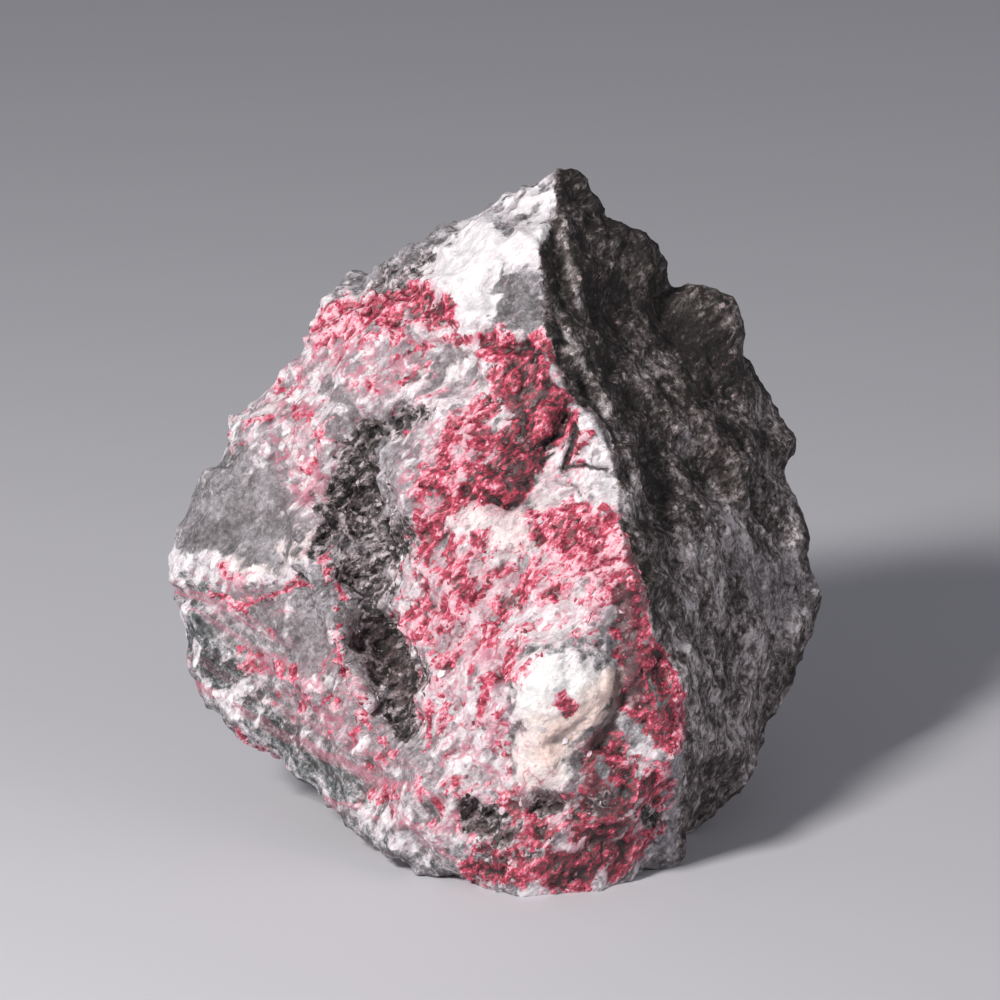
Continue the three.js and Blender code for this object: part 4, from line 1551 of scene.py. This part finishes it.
class Graph:
    """A material's nodes."""

    MIX_COLOURS = {"factor": 0, "first": 6, "second": 7, "result": 2}
    GREY = (0.5, 0.5, 0.5)
    SHIFT_DETAIL = 2.0

    def __init__(self, name: str) -> None:
        """Makes an empty material of that name."""
        self.material = bpy.data.materials.new(name)
        self.material.use_nodes = True
        self.tree = self.material.node_tree
        self.tree.nodes.clear()

    def add(self, kind: str, settings: dict[str, object], sockets: Sockets, out: str | int = 0) -> Signal | None:
        """Adds one node.

        Args:
            kind: the node's type.
            settings: its properties, which are set first; "stops" holds a ramp's positions and colours.
            sockets: a value or a signal for each input, by name or number.
            out: the output to use.

        Returns:
            That output, or None for a node that has none.
        """
        node = self.tree.nodes.new(kind)
        for key, value in settings.items():
            if key == "stops":
                self._set_stops(node, value)
            else:
                setattr(node, key, value)
        for key, value in sockets.items():
            if isinstance(value, Signal):
                self.tree.links.new(value.socket, node.inputs[key])
            elif isinstance(value, tuple) and node.inputs[key].type == "RGBA":
                node.inputs[key].default_value = (*value[:3], 1.0)
            else:
                node.inputs[key].default_value = value
        return Signal(self, node.outputs[out]) if len(node.outputs) else None

    @staticmethod
    def _set_stops(node: bpy.types.Node, stops: Stops) -> None:
        """Sets a ramp's stops.

        Args:
            node: the ramp.
            stops: positions and colours, from 0 to 1.
        """
        elements = node.color_ramp.elements
        while len(elements) < len(stops):
            elements.new(1.0)
        for element, (position, colour) in zip(elements, stops):
            element.position = position
            element.color = (*colour, 1.0)

    def vector(self, operation: str, sockets: Sockets, out: str | int = 0) -> Signal:
        """The result of one Vector Math node."""
        return self.add("ShaderNodeVectorMath", {"operation": operation}, sockets, out)

    def places(self) -> Signal:
        """The piece's own coordinates, in millimetres."""
        return self.vector("SCALE", {0: self.add("ShaderNodeTexCoord", {}, {}, "Object"), "Scale": 1.0 / MM})

    def shifted(self, places: Signal, size: float, reach: float) -> Signal:
        """Places pushed about by noise.

        Args:
            places: the places, in millimetres.
            size: distance between swells.
            reach: how far a place may move.

        Returns:
            The moved places.
        """
        sockets = {"Vector": places, "Scale": 1.0 / size, "Detail": self.SHIFT_DETAIL}
        centred = self.vector("SUBTRACT", {0: self.add("ShaderNodeTexNoise", {}, sockets, "Color"), 1: self.GREY})
        return self.vector("ADD", {0: places, 1: self.vector("SCALE", {0: centred, "Scale": 2.0 * reach})})

    def drawn(self, places: Signal, axis: Axis, squeeze: float) -> Signal:
        """Places squeezed along an axis, so that what lies on them is drawn out along it.

        Args:
            places: the places, in millimetres.
            axis: a direction of length one.
            squeeze: the length left, as a share.

        Returns:
            The squeezed places.
        """
        along = self.vector("DOT_PRODUCT", {0: places, 1: axis}, "Value")
        push = self.vector("SCALE", {0: axis, "Scale": along * (1.0 - squeeze)})
        return self.vector("SUBTRACT", {0: places, 1: push})

    def noise(self, places: Signal, mottle: Mottle) -> Signal:
        """Noise from 0 to 1 at places in millimetres."""
        sockets = {"Vector": places, "Scale": 1.0 / mottle.size, "Detail": mottle.detail, "Roughness": mottle.rough}
        return self.add("ShaderNodeTexNoise", {}, sockets)

    def cells(self, places: Signal, size: float) -> tuple[Signal, Signal]:
        """A mosaic of grains, each a small tilted plane.

        Args:
            places: the places, in millimetres.
            size: width of a grain.

        Returns:
            A colour that is the grain's own, and the plane's height in millimetres.
        """
        own = self.add("ShaderNodeTexVoronoi", {}, {"Vector": places, "Scale": 1.0 / size}, "Color")
        middle = Signal(self, own.socket.node.outputs["Position"])
        offset = self.vector("SUBTRACT", {0: places, 1: middle})
        slope = self.vector("SUBTRACT", {0: own, 1: self.GREY})
        return own, self.vector("DOT_PRODUCT", {0: offset, 1: slope}, "Value")

    def ramp(self, value: Signal, stops: Stops) -> Signal:
        """A colour for a value, which is kept from 0 to 1."""
        return self.add("ShaderNodeValToRGB", {"stops": stops}, {"Fac": value.clamped()})

    def mix(self, factor: Signal | float, first: Signal | Colour, second: Signal | Colour) -> Signal:
        """A colour between two.

        Args:
            factor: 0 for the first and 1 for the second.
            first: a colour.
            second: a colour.

        Returns:
            The mixed colour.
        """
        at = self.MIX_COLOURS
        sockets = {at["factor"]: factor, at["first"]: first, at["second"]: second}
        return self.add("ShaderNodeMix", {"data_type": "RGBA"}, sockets, at["result"])

    def share(self, name: str) -> Signal:
        """A number stored on the mesh."""
        return self.add("ShaderNodeAttribute", {"attribute_name": name}, {}, "Fac")

    def bump(self, height: Signal, distance: float) -> Signal:
        """Fine relief as a Normal, where a height of 1 stands that many metres high."""
        return self.add("ShaderNodeBump", {}, {"Height": height, "Distance": distance, "Strength": 1.0})

    def shader(self, sockets: Sockets) -> Signal:
        """A surface with the given sockets."""
        return self.add("ShaderNodeBsdfPrincipled", {}, sockets)

    def blended(self, factor: Signal, first: Signal, second: Signal) -> Signal:
        """A surface between two."""
        return self.add("ShaderNodeMixShader", {}, {0: factor, 1: first, 2: second})

    def finish(self, surface: Signal) -> bpy.types.Material:
        """Ends the material with what its surface shows."""
        self.add("ShaderNodeOutputMaterial", {}, {"Surface": surface})
        return self.material


# ---- Finishes ------------------------------------------------------------------------------------------------


@dataclass(frozen=True)
class Palette:
    """The minerals' colours."""

    crimson: Stops = (
        (0.0, (0.035, 0.004, 0.008)),
        (0.2, (0.12, 0.010, 0.020)),
        (0.42, (0.33, 0.018, 0.045)),
        (0.6, (0.60, 0.032, 0.090)),
        (0.78, (0.80, 0.15, 0.25)),
        (1.0, (0.84, 0.52, 0.58)),
    )
    carbonate: Stops = (
        (0.0, (0.015, 0.0115, 0.0105)),
        (0.25, (0.056, 0.048, 0.046)),
        (0.5, (0.165, 0.150, 0.155)),
        (0.75, (0.37, 0.345, 0.365)),
        (1.0, (0.68, 0.63, 0.66)),
    )
    hackly: Stops = (
        (0.0, (0.0155, 0.0108, 0.0094)),
        (0.25, (0.058, 0.0445, 0.0405)),
        (0.5, (0.168, 0.141, 0.139)),
        (0.75, (0.38, 0.335, 0.34)),
        (1.0, (0.68, 0.62, 0.64)),
    )
    flank: Stops = (
        (0.0, (0.022, 0.026, 0.026)),
        (0.3, (0.075, 0.085, 0.084)),
        (0.5, (0.21, 0.22, 0.225)),
        (0.7, (0.43, 0.40, 0.42)),
        (1.0, (0.78, 0.72, 0.75)),
    )
    soot: Stops = (
        (0.0, (0.010, 0.009, 0.009)),
        (0.32, (0.040, 0.033, 0.032)),
        (0.52, (0.115, 0.092, 0.093)),
        (0.74, (0.32, 0.26, 0.275)),
        (1.0, (0.66, 0.58, 0.60)),
    )
    bright: Colour = (0.97, 0.945, 0.94)
    white: Colour = (0.90, 0.86, 0.875)
    lilac: Colour = (0.66, 0.58, 0.625)
    grey: Colour = (0.34, 0.315, 0.34)
    cream: Colour = (0.95, 0.72, 0.64)
    rosy: Colour = (0.50, 0.36, 0.40)
    rose: Colour = (0.60, 0.17, 0.25)
    # Dark brown for stain and for painted shade.
    rust: Colour = (0.085, 0.038, 0.042)
    stained: Colour = (0.76, 0.42, 0.49)
    crack: Colour = (0.02, 0.015, 0.016)


MILKY: Sockets = {
    "IOR": 1.56, "Subsurface Weight": 0.2, "Subsurface Radius": (0.0012, 0.0009, 0.0008), "Subsurface Scale": 1.0,
}
STROKES = Mottle(0.7, 4.0, 0.75)
CLOUD = Mottle(5.0, 5.0)


@dataclass(frozen=True)
class RockFinish:
    """The lump's skin: a mosaic of dark and pale carbonate grains, calcite, cinnabar and soot, with painted shade in
    its hollows and painted light on its ridges.

    Noises, grains and shares of minerals are signals with names. A level says how much each of them counts.
    """

    palette: Palette = Palette()
    grain: float = 0.95
    fine_grain: float = 0.48
    grain_bend: Band = (0.9, 0.12)
    wisp_bend: Band = (2.2, 0.6)
    break_axis: Axis = (0.28, -0.25, -0.93)
    break_squeeze: float = 0.55
    flank_axis: Axis = (0.69, -0.22, -0.69)
    flank_squeeze: float = 0.3
    band_squeeze: float = 0.25
    band_shift: float = 31.0
    stone_ior: float = 1.5
    glassy_ior: float = 1.8

    MOTTLES = {
        "cloud": CLOUD, "dust": Mottle(0.3, 3.0, 0.7), "speckle": Mottle(1.0, 4.0, 0.75),
        "salt dots": Mottle(0.55, 2.0, 0.6), "patchy": Mottle(8.0, 3.0, 0.6), "creamy": Mottle(9.0, 2.0),
    }
    WISPS = Mottle(1.2, 6.0, 0.65)
    BLOTCH = Mottle(2.4, 6.0, 0.8)
    FLANK_STREAKS = Mottle(1.5, 5.0, 0.7)
    FLANK_BANDS = Mottle(1.6, 5.0, 0.7)

    RAGGED = {"tone": 0.3, "fine tone": 0.3, "strokes": 1.2, "wisps": 0.8}
    SOOT = Onset(Recipe(0.0, {"soot": 1.0} | RAGGED), (0.36, 0.64))
    RED = Onset(Recipe(0.0, {"cinnabar": 1.0} | RAGGED), (0.26, 0.7))
    PALE = Onset(
        Recipe(0.0, {"calcite": 1.0, "other": 0.3, "fine other": 0.2, "wisps": 1.4, "deep": -0.3}), (0.2, 0.8)
    )
    # Where the dark brown of stain and of painted shade goes.
    RUST = Onset(
        Recipe(0.0, {"rust": 1.0, "tone": 0.21, "fine tone": 0.21, "strokes": 0.84, "wisps": 0.56}), (0.25, 0.75), 0.8
    )
    CRACK = Onset(Recipe(0.0, {"crack": 1.0, "wisps": 1.2}), (0.3, 0.7), 0.9)
    PEPPER = Onset(Recipe(0.5, {"other": 0.5, "fine third": 0.5, "cloud": 0.5}), (0.7, 0.84), 0.6)
    # Relief and hollow paint light on the ridges and shade in the hollows of the crimson; deep is partly painted
    # shade.
    CRIMSON = Recipe(0.74, {
        "fine other": 0.3, "other": 0.2, "cloud": 0.9, "strokes": 2.6, "dust": 0.4,
        "relief": 0.22, "hollow": -0.24, "stain": -0.18, "deep": -0.36, "vivid": 0.24,
    })
    # Relief and hollow paint light on the ridges and shade in the hollows of the soot; murk is partly painted shade
    # along the trench walls.
    SOOTY = Recipe(0.69, {
        "fine tone": 0.5, "tone": 0.3, "speckle": 1.7, "relief": 0.1, "hollow": -0.1, "murk": -0.24,
    })
    # Scales the whole colour: painted shade in hollows and painted light on ridges, with a little random tone from
    # the dust.
    SHADE = Recipe(0.94, {"relief": 0.2, "pitted": -0.3, "dust": 0.25})

    SALT = Onset(Recipe(0.5, {"salt dots": 1.0}), (0.58, 0.7), 0.28)
    HACKLY = Onset(Recipe(0.0, {"gloom": 1.0}), (0.05, 0.3))
    GROUND = Recipe(0.64, {"cloud": 0.8, "gloom": -0.46})
    GROUND_GRAINS = Recipe(0.0, {"speckle": 1.3, "tone": 0.14, "fine tone": 0.14, "salt": 1.0})
    HACKLY_GRAINS = Recipe(0.0, {"fine tone": 0.16, "tone": 0.16, "patchy": 1.5})
    HACKLY_BLOTCH = Recipe(3.4, {"gloom": -1.8})
    CLAST_EVENS = Recipe(1.0, {"clast": -0.4})
    CLAST_DARKENS = Recipe(0.05, {"murk": 0.25})
    FLANK = Recipe(0.56, {"streaks": 2.2, "speckle": 1.6, "salt": 1.0, "murk": -0.22})
    FLANK_ROSE = Onset(Recipe(0.5, {"bands": 1.0}), (0.48, 0.62))
    FLANK_ROSE_MOST = Recipe(0.75, {"murk": -0.5})
    ROSY_MOST = 0.7

    LILAC = Onset(Recipe(0.5, {"strokes": 0.7, "other": 0.3}), (0.4, 0.7))
    GREY = Onset(Recipe(0.5, {"cloud": 0.5, "strokes": 0.5}), (0.5, 0.68), 0.6)
    BLUSH = Onset(Recipe(0.0, {"stain": 1.2, "other": 0.3, "cloud": 0.8, "strokes": 1.6}), (0.1, 1.0), 0.85)
    CREAMY = Onset(Recipe(0.5, {"creamy": 1.0}), (0.5, 0.7), 0.1)
    CREAM_MOST = 0.9
    CALM_EVENS = Recipe(1.0, {"calm": -0.7})
    SMOOTH_EVENS = Recipe(1.0, {"smooth": -0.9})
    SMOOTH_BRIGHT = 0.95

    NET_BEND = (3.0, 1.4)
    NET_BROAD, NET_FINE = Mottle(7.0, 2.0), Mottle(3.4, 2.0)
    NET_LEAST, NET_WIDTH, NET_FINE_WIDTH = 0.2, 0.12, 0.7
    NET_EDGE, NET_MOST = (-0.006, 0.024), 0.7

    STONY = Recipe(0.2, {"plane": 0.3, "fine plane": 0.4, "speckle": 0.4, "dust": 0.07})
    CRUSTY = Recipe(0.1, {"plane": 0.5, "fine plane": 0.5, "strokes": 0.2, "dust": 0.07})
    STONE_ROUGHNESS = Recipe(0.7, {"fine tone": -0.3})
    CRYSTAL_ROUGHNESS = Recipe(0.525, {"other": -0.35})

    def material(self) -> bpy.types.Material:
        """Builds the material.

        Returns:
            The material.
        """
        graph = Graph("rough cinnabar rock")
        places = graph.places()
        signals = self._signals(graph, places)
        soot = self.SOOT.share(signals)
        clean = 1.0 - soot
        red = self.RED.share(signals) * clean
        pale = self.PALE.share(signals) * clean
        ground = self._ground(graph, signals)
        peppered = self.PEPPER.share(signals) * (1.0 - signals["calm"])
        white = graph.mix(peppered, self._white(graph, signals), ground)
        tones = self.palette
        colour = graph.mix(soot, ground, graph.ramp(self.SOOTY.level(signals), tones.soot))
        colour = graph.mix(pale, colour, white)
        colour = graph.mix(self._net(graph, places, signals) * clean, colour, tones.rose)
        colour = graph.mix(red, colour, graph.ramp(self.CRIMSON.level(signals), tones.crimson))
        # Dark brown: stain along the crust's cut edges and painted shade in seams, hollows and round the knob.
        colour = graph.mix(self.RUST.share(signals), colour, tones.rust)
        colour = graph.mix(self.CRACK.share(signals), colour, tones.crack)
        # Painted shade in hollows and painted light on ridges.
        colour = graph.vector("SCALE", {0: colour, "Scale": self.SHADE.level(signals).clamped()})
        return graph.finish(self._surface(graph, signals, colour, pale, red))

    def _signals(self, graph: Graph, places: Signal) -> Signals:
        """What the levels are made of. Noises and the grains' own numbers lie round 0, and shares start at 0.

        Args:
            graph: the material's nodes.
            places: the places, in millimetres.

        Returns:
            The signals by name.
        """
        grown = graph.drawn(places, GROWTH_AXIS, GROWTH_SQUEEZE)
        bent = graph.shifted(grown, *self.grain_bend)
        own, plane = graph.cells(bent, self.grain)
        fine_own, fine_plane = graph.cells(bent, self.fine_grain)
        shattered = graph.drawn(places, self.break_axis, self.break_squeeze)
        streaked = graph.drawn(places, self.flank_axis, self.flank_squeeze)
        banded = graph.drawn(places + self.band_shift, self.flank_axis, self.band_squeeze)
        made = {name: graph.noise(places, mottle) for name, mottle in self.MOTTLES.items()}
        made |= {
            "tone": own.part(0), "other": own.part(1),
            "fine tone": fine_own.part(0), "fine other": fine_own.part(1), "fine third": fine_own.part(2),
            "strokes": graph.noise(grown, STROKES),
            "wisps": graph.noise(graph.shifted(grown, *self.wisp_bend), self.WISPS),
            "blotch": graph.noise(shattered, self.BLOTCH),
            "streaks": graph.noise(streaked, self.FLANK_STREAKS),
            "bands": graph.noise(banded, self.FLANK_BANDS),
        }
        made = {name: signal - 0.5 for name, signal in made.items()}
        made |= {mineral.value: graph.share(mineral.value) for mineral in Mineral}
        made |= {name: graph.share(name) for name in ("relief", "hollow", "stain")}
        made |= {"plane": plane, "fine plane": fine_plane, "pitted": made["hollow"].highest(0.0)}
        made["salt"] = self.SALT.share(made)
        return made

    def _ground(self, graph: Graph, signals: Signals) -> Signal:
        """Carbonate rock: salt and pepper grains, darker on the hackly break and even in the clasts.

        Args:
            graph: the material's nodes.
            signals: the signals by name.

        Returns:
            The colour.
        """
        hackly = self.HACKLY.share(signals)
        blotched = signals["blotch"] * self.HACKLY_BLOTCH.level(signals)
        level = self.GROUND_GRAINS.level(signals) * self.CLAST_EVENS.level(signals)
        level = level + (blotched + self.HACKLY_GRAINS.level(signals)) * hackly
        level = level + self.GROUND.level(signals) - signals["clast"] * self.CLAST_DARKENS.level(signals)
        grey = graph.ramp(level, self.palette.carbonate)
        grey = graph.mix(hackly, grey, graph.ramp(level, self.palette.hackly))
        rose = self.FLANK_ROSE.share(signals) * self.FLANK_ROSE_MOST.level(signals)
        flank = graph.mix(rose, graph.ramp(self.FLANK.level(signals), self.palette.flank), self.palette.rose)
        grey = graph.mix(signals["streak"], grey, flank)
        rosy = signals["net"] * (signals["cloud"] + 0.5) * self.ROSY_MOST
        return graph.mix(rosy.clamped(), grey, self.palette.rosy)

    def _white(self, graph: Graph, signals: Signals) -> Signal:
        """Calcite: white with lilac, grey and cream grains, stained pink beside cinnabar.

        Args:
            graph: the material's nodes.
            signals: the signals by name.

        Returns:
            The colour.
        """
        tones = self.palette
        rough = self.CALM_EVENS.level(signals) * self.SMOOTH_EVENS.level(signals)
        white = graph.mix(self.LILAC.share(signals) * rough, tones.white, tones.lilac)
        white = graph.mix(self.GREY.share(signals) * rough, white, tones.grey)
        white = graph.mix(signals["smooth"] * self.SMOOTH_BRIGHT, white, tones.bright)
        # The cream share is partly painted shade: a peach tint on the knob's shaded side.
        creamy = self.CREAMY.share(signals) + signals["cream"] * self.CREAM_MOST
        white = graph.mix(creamy.clamped(), white, tones.cream)
        return graph.mix(self.BLUSH.share(signals), white, tones.stained)

    def _net(self, graph: Graph, places: Signal, signals: Signals) -> Signal:
        """Thin threads of cinnabar that run through the paler parts of the crust.

        Args:
            graph: the material's nodes.
            places: the places, in millimetres.
            signals: the signals by name.

        Returns:
            How much of them there is.
        """
        bent = graph.shifted(places, *self.NET_BEND)
        broad = (graph.noise(bent, self.NET_BROAD) - 0.5).size()
        fine = (graph.noise(bent, self.NET_FINE) - 0.5).size()
        width = (signals["net"] * (signals["wisps"] + 0.5) - self.NET_LEAST) * self.NET_WIDTH
        threads = (width - broad).highest(width * self.NET_FINE_WIDTH - fine)
        return threads.rising(*self.NET_EDGE) * self.NET_MOST

    def _surface(self, graph: Graph, signals: Signals, colour: Signal, pale: Signal, red: Signal) -> Signal:
        """Dull stone, milky calcite and glassy cinnabar, with the fine relief of their grains.

        Args:
            graph: the material's nodes.
            signals: the signals by name.
            colour: the colour.
            pale: how much calcite there is.
            red: how much cinnabar there is.

        Returns:
            The surface.
        """
        crust = (signals["cinnabar"] + signals["calcite"]).clamped()
        stony = self.STONY.level(signals)
        height = stony + (self.CRUSTY.level(signals) - stony) * crust
        dull = {"Base Color": colour, "Normal": graph.bump(height, MM)}
        crystal = dull | {"Roughness": self.CRYSTAL_ROUGHNESS.level(signals)}
        stone = graph.shader(dull | {"Roughness": self.STONE_ROUGHNESS.level(signals), "IOR": self.stone_ior})
        surface = graph.blended(pale, stone, graph.shader(crystal | MILKY))
        return graph.blended(red, surface, graph.shader(crystal | {"IOR": self.glassy_ior}))


@dataclass(frozen=True)
class GrainFinish:
    """Small crystals, each of its own tone."""

    mineral: GrainMineral
    palette: Palette = Palette()
    facet: float = 0.3
    mist: Mottle = Mottle(0.4, 3.0, 0.7)
    cinnabar_ior: float = 1.9

    LILAC = Onset(Recipe(0.5, {"tone": 1.0}), (0.2, 0.9))
    GREY = Onset(Recipe(0.5, {"tone": 1.0}), (0.84, 0.95), 0.8)
    STAIN = Onset(Recipe(0.0, {"tint": 1.1, "mist": 1.0, "tone": 0.4}), (0.1, 1.0), 0.8)
    # Deep darkens the grains, partly as painted shade along the crest rim, the lower right and the trench walls.
    CRIMSON = Recipe(0.84, {"tone": 0.45, "mist": 0.9, "rich": -0.4, "cloud": 0.9, "strokes": 1.4, "deep": -0.22})
    SOOTY = Recipe(0.55, {"tone": 0.85, "mist": 0.8, "deep": -0.24})
    RELIEF = Recipe(0.0, {"plane": 0.3, "mist": 0.03})
    ROUGHNESS = Recipe(0.55, {"mist": 0.4})

    def material(self) -> bpy.types.Material:
        """Builds the material.

        Returns:
            The material.
        """
        graph = Graph(f"{self.mineral.value} crystals")
        places = graph.places()
        signals = {
            "plane": graph.cells(places, self.facet)[1],
            "mist": graph.noise(places, self.mist) - 0.5,
            "tone": graph.share("tone") - 0.5,
        }
        signals |= {name: graph.share(name) for name in ("tint", "deep", "rich")}
        sockets = {
            "Base Color": self._colour(graph, places, signals),
            "Roughness": self.ROUGHNESS.level(signals),
            "Normal": graph.bump(self.RELIEF.level(signals), MM),
        }
        if self.mineral is GrainMineral.CALCITE:
            sockets |= MILKY
        elif self.mineral is GrainMineral.CINNABAR:
            sockets["IOR"] = self.cinnabar_ior
        return graph.finish(graph.shader(sockets))

    def _colour(self, graph: Graph, places: Signal, signals: Signals) -> Signal:
        """The crystals' colour.

        Args:
            graph: the material's nodes.
            places: the places, in millimetres.
            signals: the signals by name.

        Returns:
            The colour.
        """
        tones = self.palette
        if self.mineral is GrainMineral.CALCITE:
            colour = graph.mix(self.LILAC.share(signals), tones.white, tones.lilac)
            colour = graph.mix(self.GREY.share(signals), colour, tones.grey)
            return graph.mix(self.STAIN.share(signals), colour, tones.stained)
        if self.mineral is GrainMineral.SOOT:
            return graph.ramp(self.SOOTY.level(signals), tones.soot)
        grown = graph.drawn(places, GROWTH_AXIS, GROWTH_SQUEEZE)
        mottled = {"cloud": graph.noise(places, CLOUD) - 0.5, "strokes": graph.noise(grown, STROKES) - 0.5}
        return graph.ramp(self.CRIMSON.level(signals | mottled), tones.crimson)


@dataclass(frozen=True)
class PaperFinish:
    """The studio's matt surface."""

    name: str
    colour: Colour
    roughness: float = 0.75
    fleck: Mottle = Mottle(4.0, 4.0)
    fleck_roughness: float = 0.15
    fleck_height: float = 0.02

    def material(self) -> bpy.types.Material:
        """Builds the material.

        Returns:
            The material.
        """
        graph = Graph(self.name)
        fleck = graph.noise(graph.places(), self.fleck)
        surface = graph.shader({
            "Base Color": self.colour,
            "Roughness": self.roughness + fleck * self.fleck_roughness,
            "Normal": graph.bump(fleck, self.fleck_height * MM),
        })
        return graph.finish(surface)


# ---- The studio ----------------------------------------------------------------------------------------------


def direction(azimuth: float, elevation: float) -> Vector:
    """The way from the lump to a viewer.

    Args:
        azimuth: degrees round the lump; 0 is straight before the crusted front, 90 is on its right.
        elevation: degrees above the floor.

    Returns:
        A vector of length one.
    """
    turn, rise = math.radians(azimuth), math.radians(elevation)
    return Vector((math.sin(turn) * math.cos(rise), -math.cos(turn) * math.cos(rise), math.sin(rise)))


def aimed(item: bpy.types.Object, away: Vector, aim: Vector, distance: float) -> None:
    """Links a lamp or a camera and points it at a place.

    Args:
        item: the lamp or camera.
        away: the way from the place to it.
        aim: the place.
        distance: how far off it stands.
    """
    bpy.context.scene.collection.objects.link(item)
    item.location = aim + away * distance
    item.rotation_euler = (-away).to_track_quat("-Z", "Y").to_euler()


@dataclass(frozen=True)
class SoftBox:
    """A square light, given by where it stands round the lump."""

    name: str
    azimuth: float
    elevation: float
    distance: float
    size: float
    power: float
    colour: Colour

    def build(self, aim: Vector) -> None:
        """Makes the light, which points at the aim."""
        light = bpy.data.lights.new(self.name, "AREA")
        light.size = self.size
        light.energy = self.power
        light.color = self.colour
        lamp = bpy.data.objects.new(self.name, light)
        aimed(lamp, direction(self.azimuth, self.elevation), aim, self.distance)


@dataclass
class Studio:
    """A pale floor, soft light and the camera."""

    floor_radius: float = 3.0
    floor_corners: int = 96
    floor_colour: Colour = (0.565, 0.555, 0.585)
    aim: Axis = (0.0, 0.0, 0.0485)
    camera_distance: float = 1.0
    camera_elevation: float = 18.0
    camera_clip: Band = (0.05, 20.0)
    lens: float = 232.0
    sensor: float = 36.0
    lights: tuple[SoftBox, ...] = (
        SoftBox("key", azimuth=-40.0, elevation=37.0, distance=0.75, size=0.13, power=6.3, colour=(1.0, 0.985, 0.97)),
        SoftBox("fill", azimuth=66.0, elevation=20.0, distance=1.1, size=0.7, power=2.2, colour=(1.0, 0.985, 0.98)),
    )
    sky: Colour = (0.50, 0.52, 0.58)
    sky_strength: float = 0.32

    def build(self) -> None:
        """Makes the floor, the lights, the sky and the camera."""
        bm = bmesh.new()
        bmesh.ops.create_circle(bm, cap_ends=True, segments=self.floor_corners, radius=self.floor_radius)
        mesh = bpy.data.meshes.new("floor")
        bm.to_mesh(mesh)
        bm.free()
        floor = linked("floor", mesh)
        mesh.materials.append(PaperFinish("pale floor", self.floor_colour).material())
        for light in self.lights:
            light.build(Vector(self.aim))
        world = bpy.data.worlds.new("studio")
        world.use_nodes = True
        sky = world.node_tree.nodes["Background"]
        sky.inputs["Color"].default_value = (*self.sky, 1.0)
        sky.inputs["Strength"].default_value = self.sky_strength
        bpy.context.scene.world = world
        self._place_camera()
        bpy.context.scene.view_settings.view_transform = "Standard"

    def _place_camera(self) -> None:
        """Sets the camera before the crusted front."""
        data = bpy.data.cameras.new("camera")
        data.lens = self.lens
        data.sensor_width = self.sensor
        data.clip_start, data.clip_end = self.camera_clip
        camera = bpy.data.objects.new("camera", data)
        aimed(camera, direction(0.0, self.camera_elevation), Vector(self.aim), self.camera_distance)
        bpy.context.scene.camera = camera


# ---- The whole -----------------------------------------------------------------------------------------------


def report(piece: bpy.types.Object) -> None:
    """Logs a piece's name and its number of triangles."""
    piece.data.calc_loop_triangles()
    LOG.info("%s: %d triangles", piece.name, len(piece.data.loop_triangles))


def main() -> None:
    """Builds the lump, its grains and the studio."""
    logging.basicConfig(level=logging.INFO, format="%(name)s %(message)s")
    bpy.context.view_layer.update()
    rock = Rock(MineralMap(FaceOn()))
    rock.build()
    rock.dress(RockFinish().material())
    report(rock.piece)
    for piece in GrainCover(rock).build():
        report(piece)
    Studio().build()


if __name__ == "__main__":
    main()
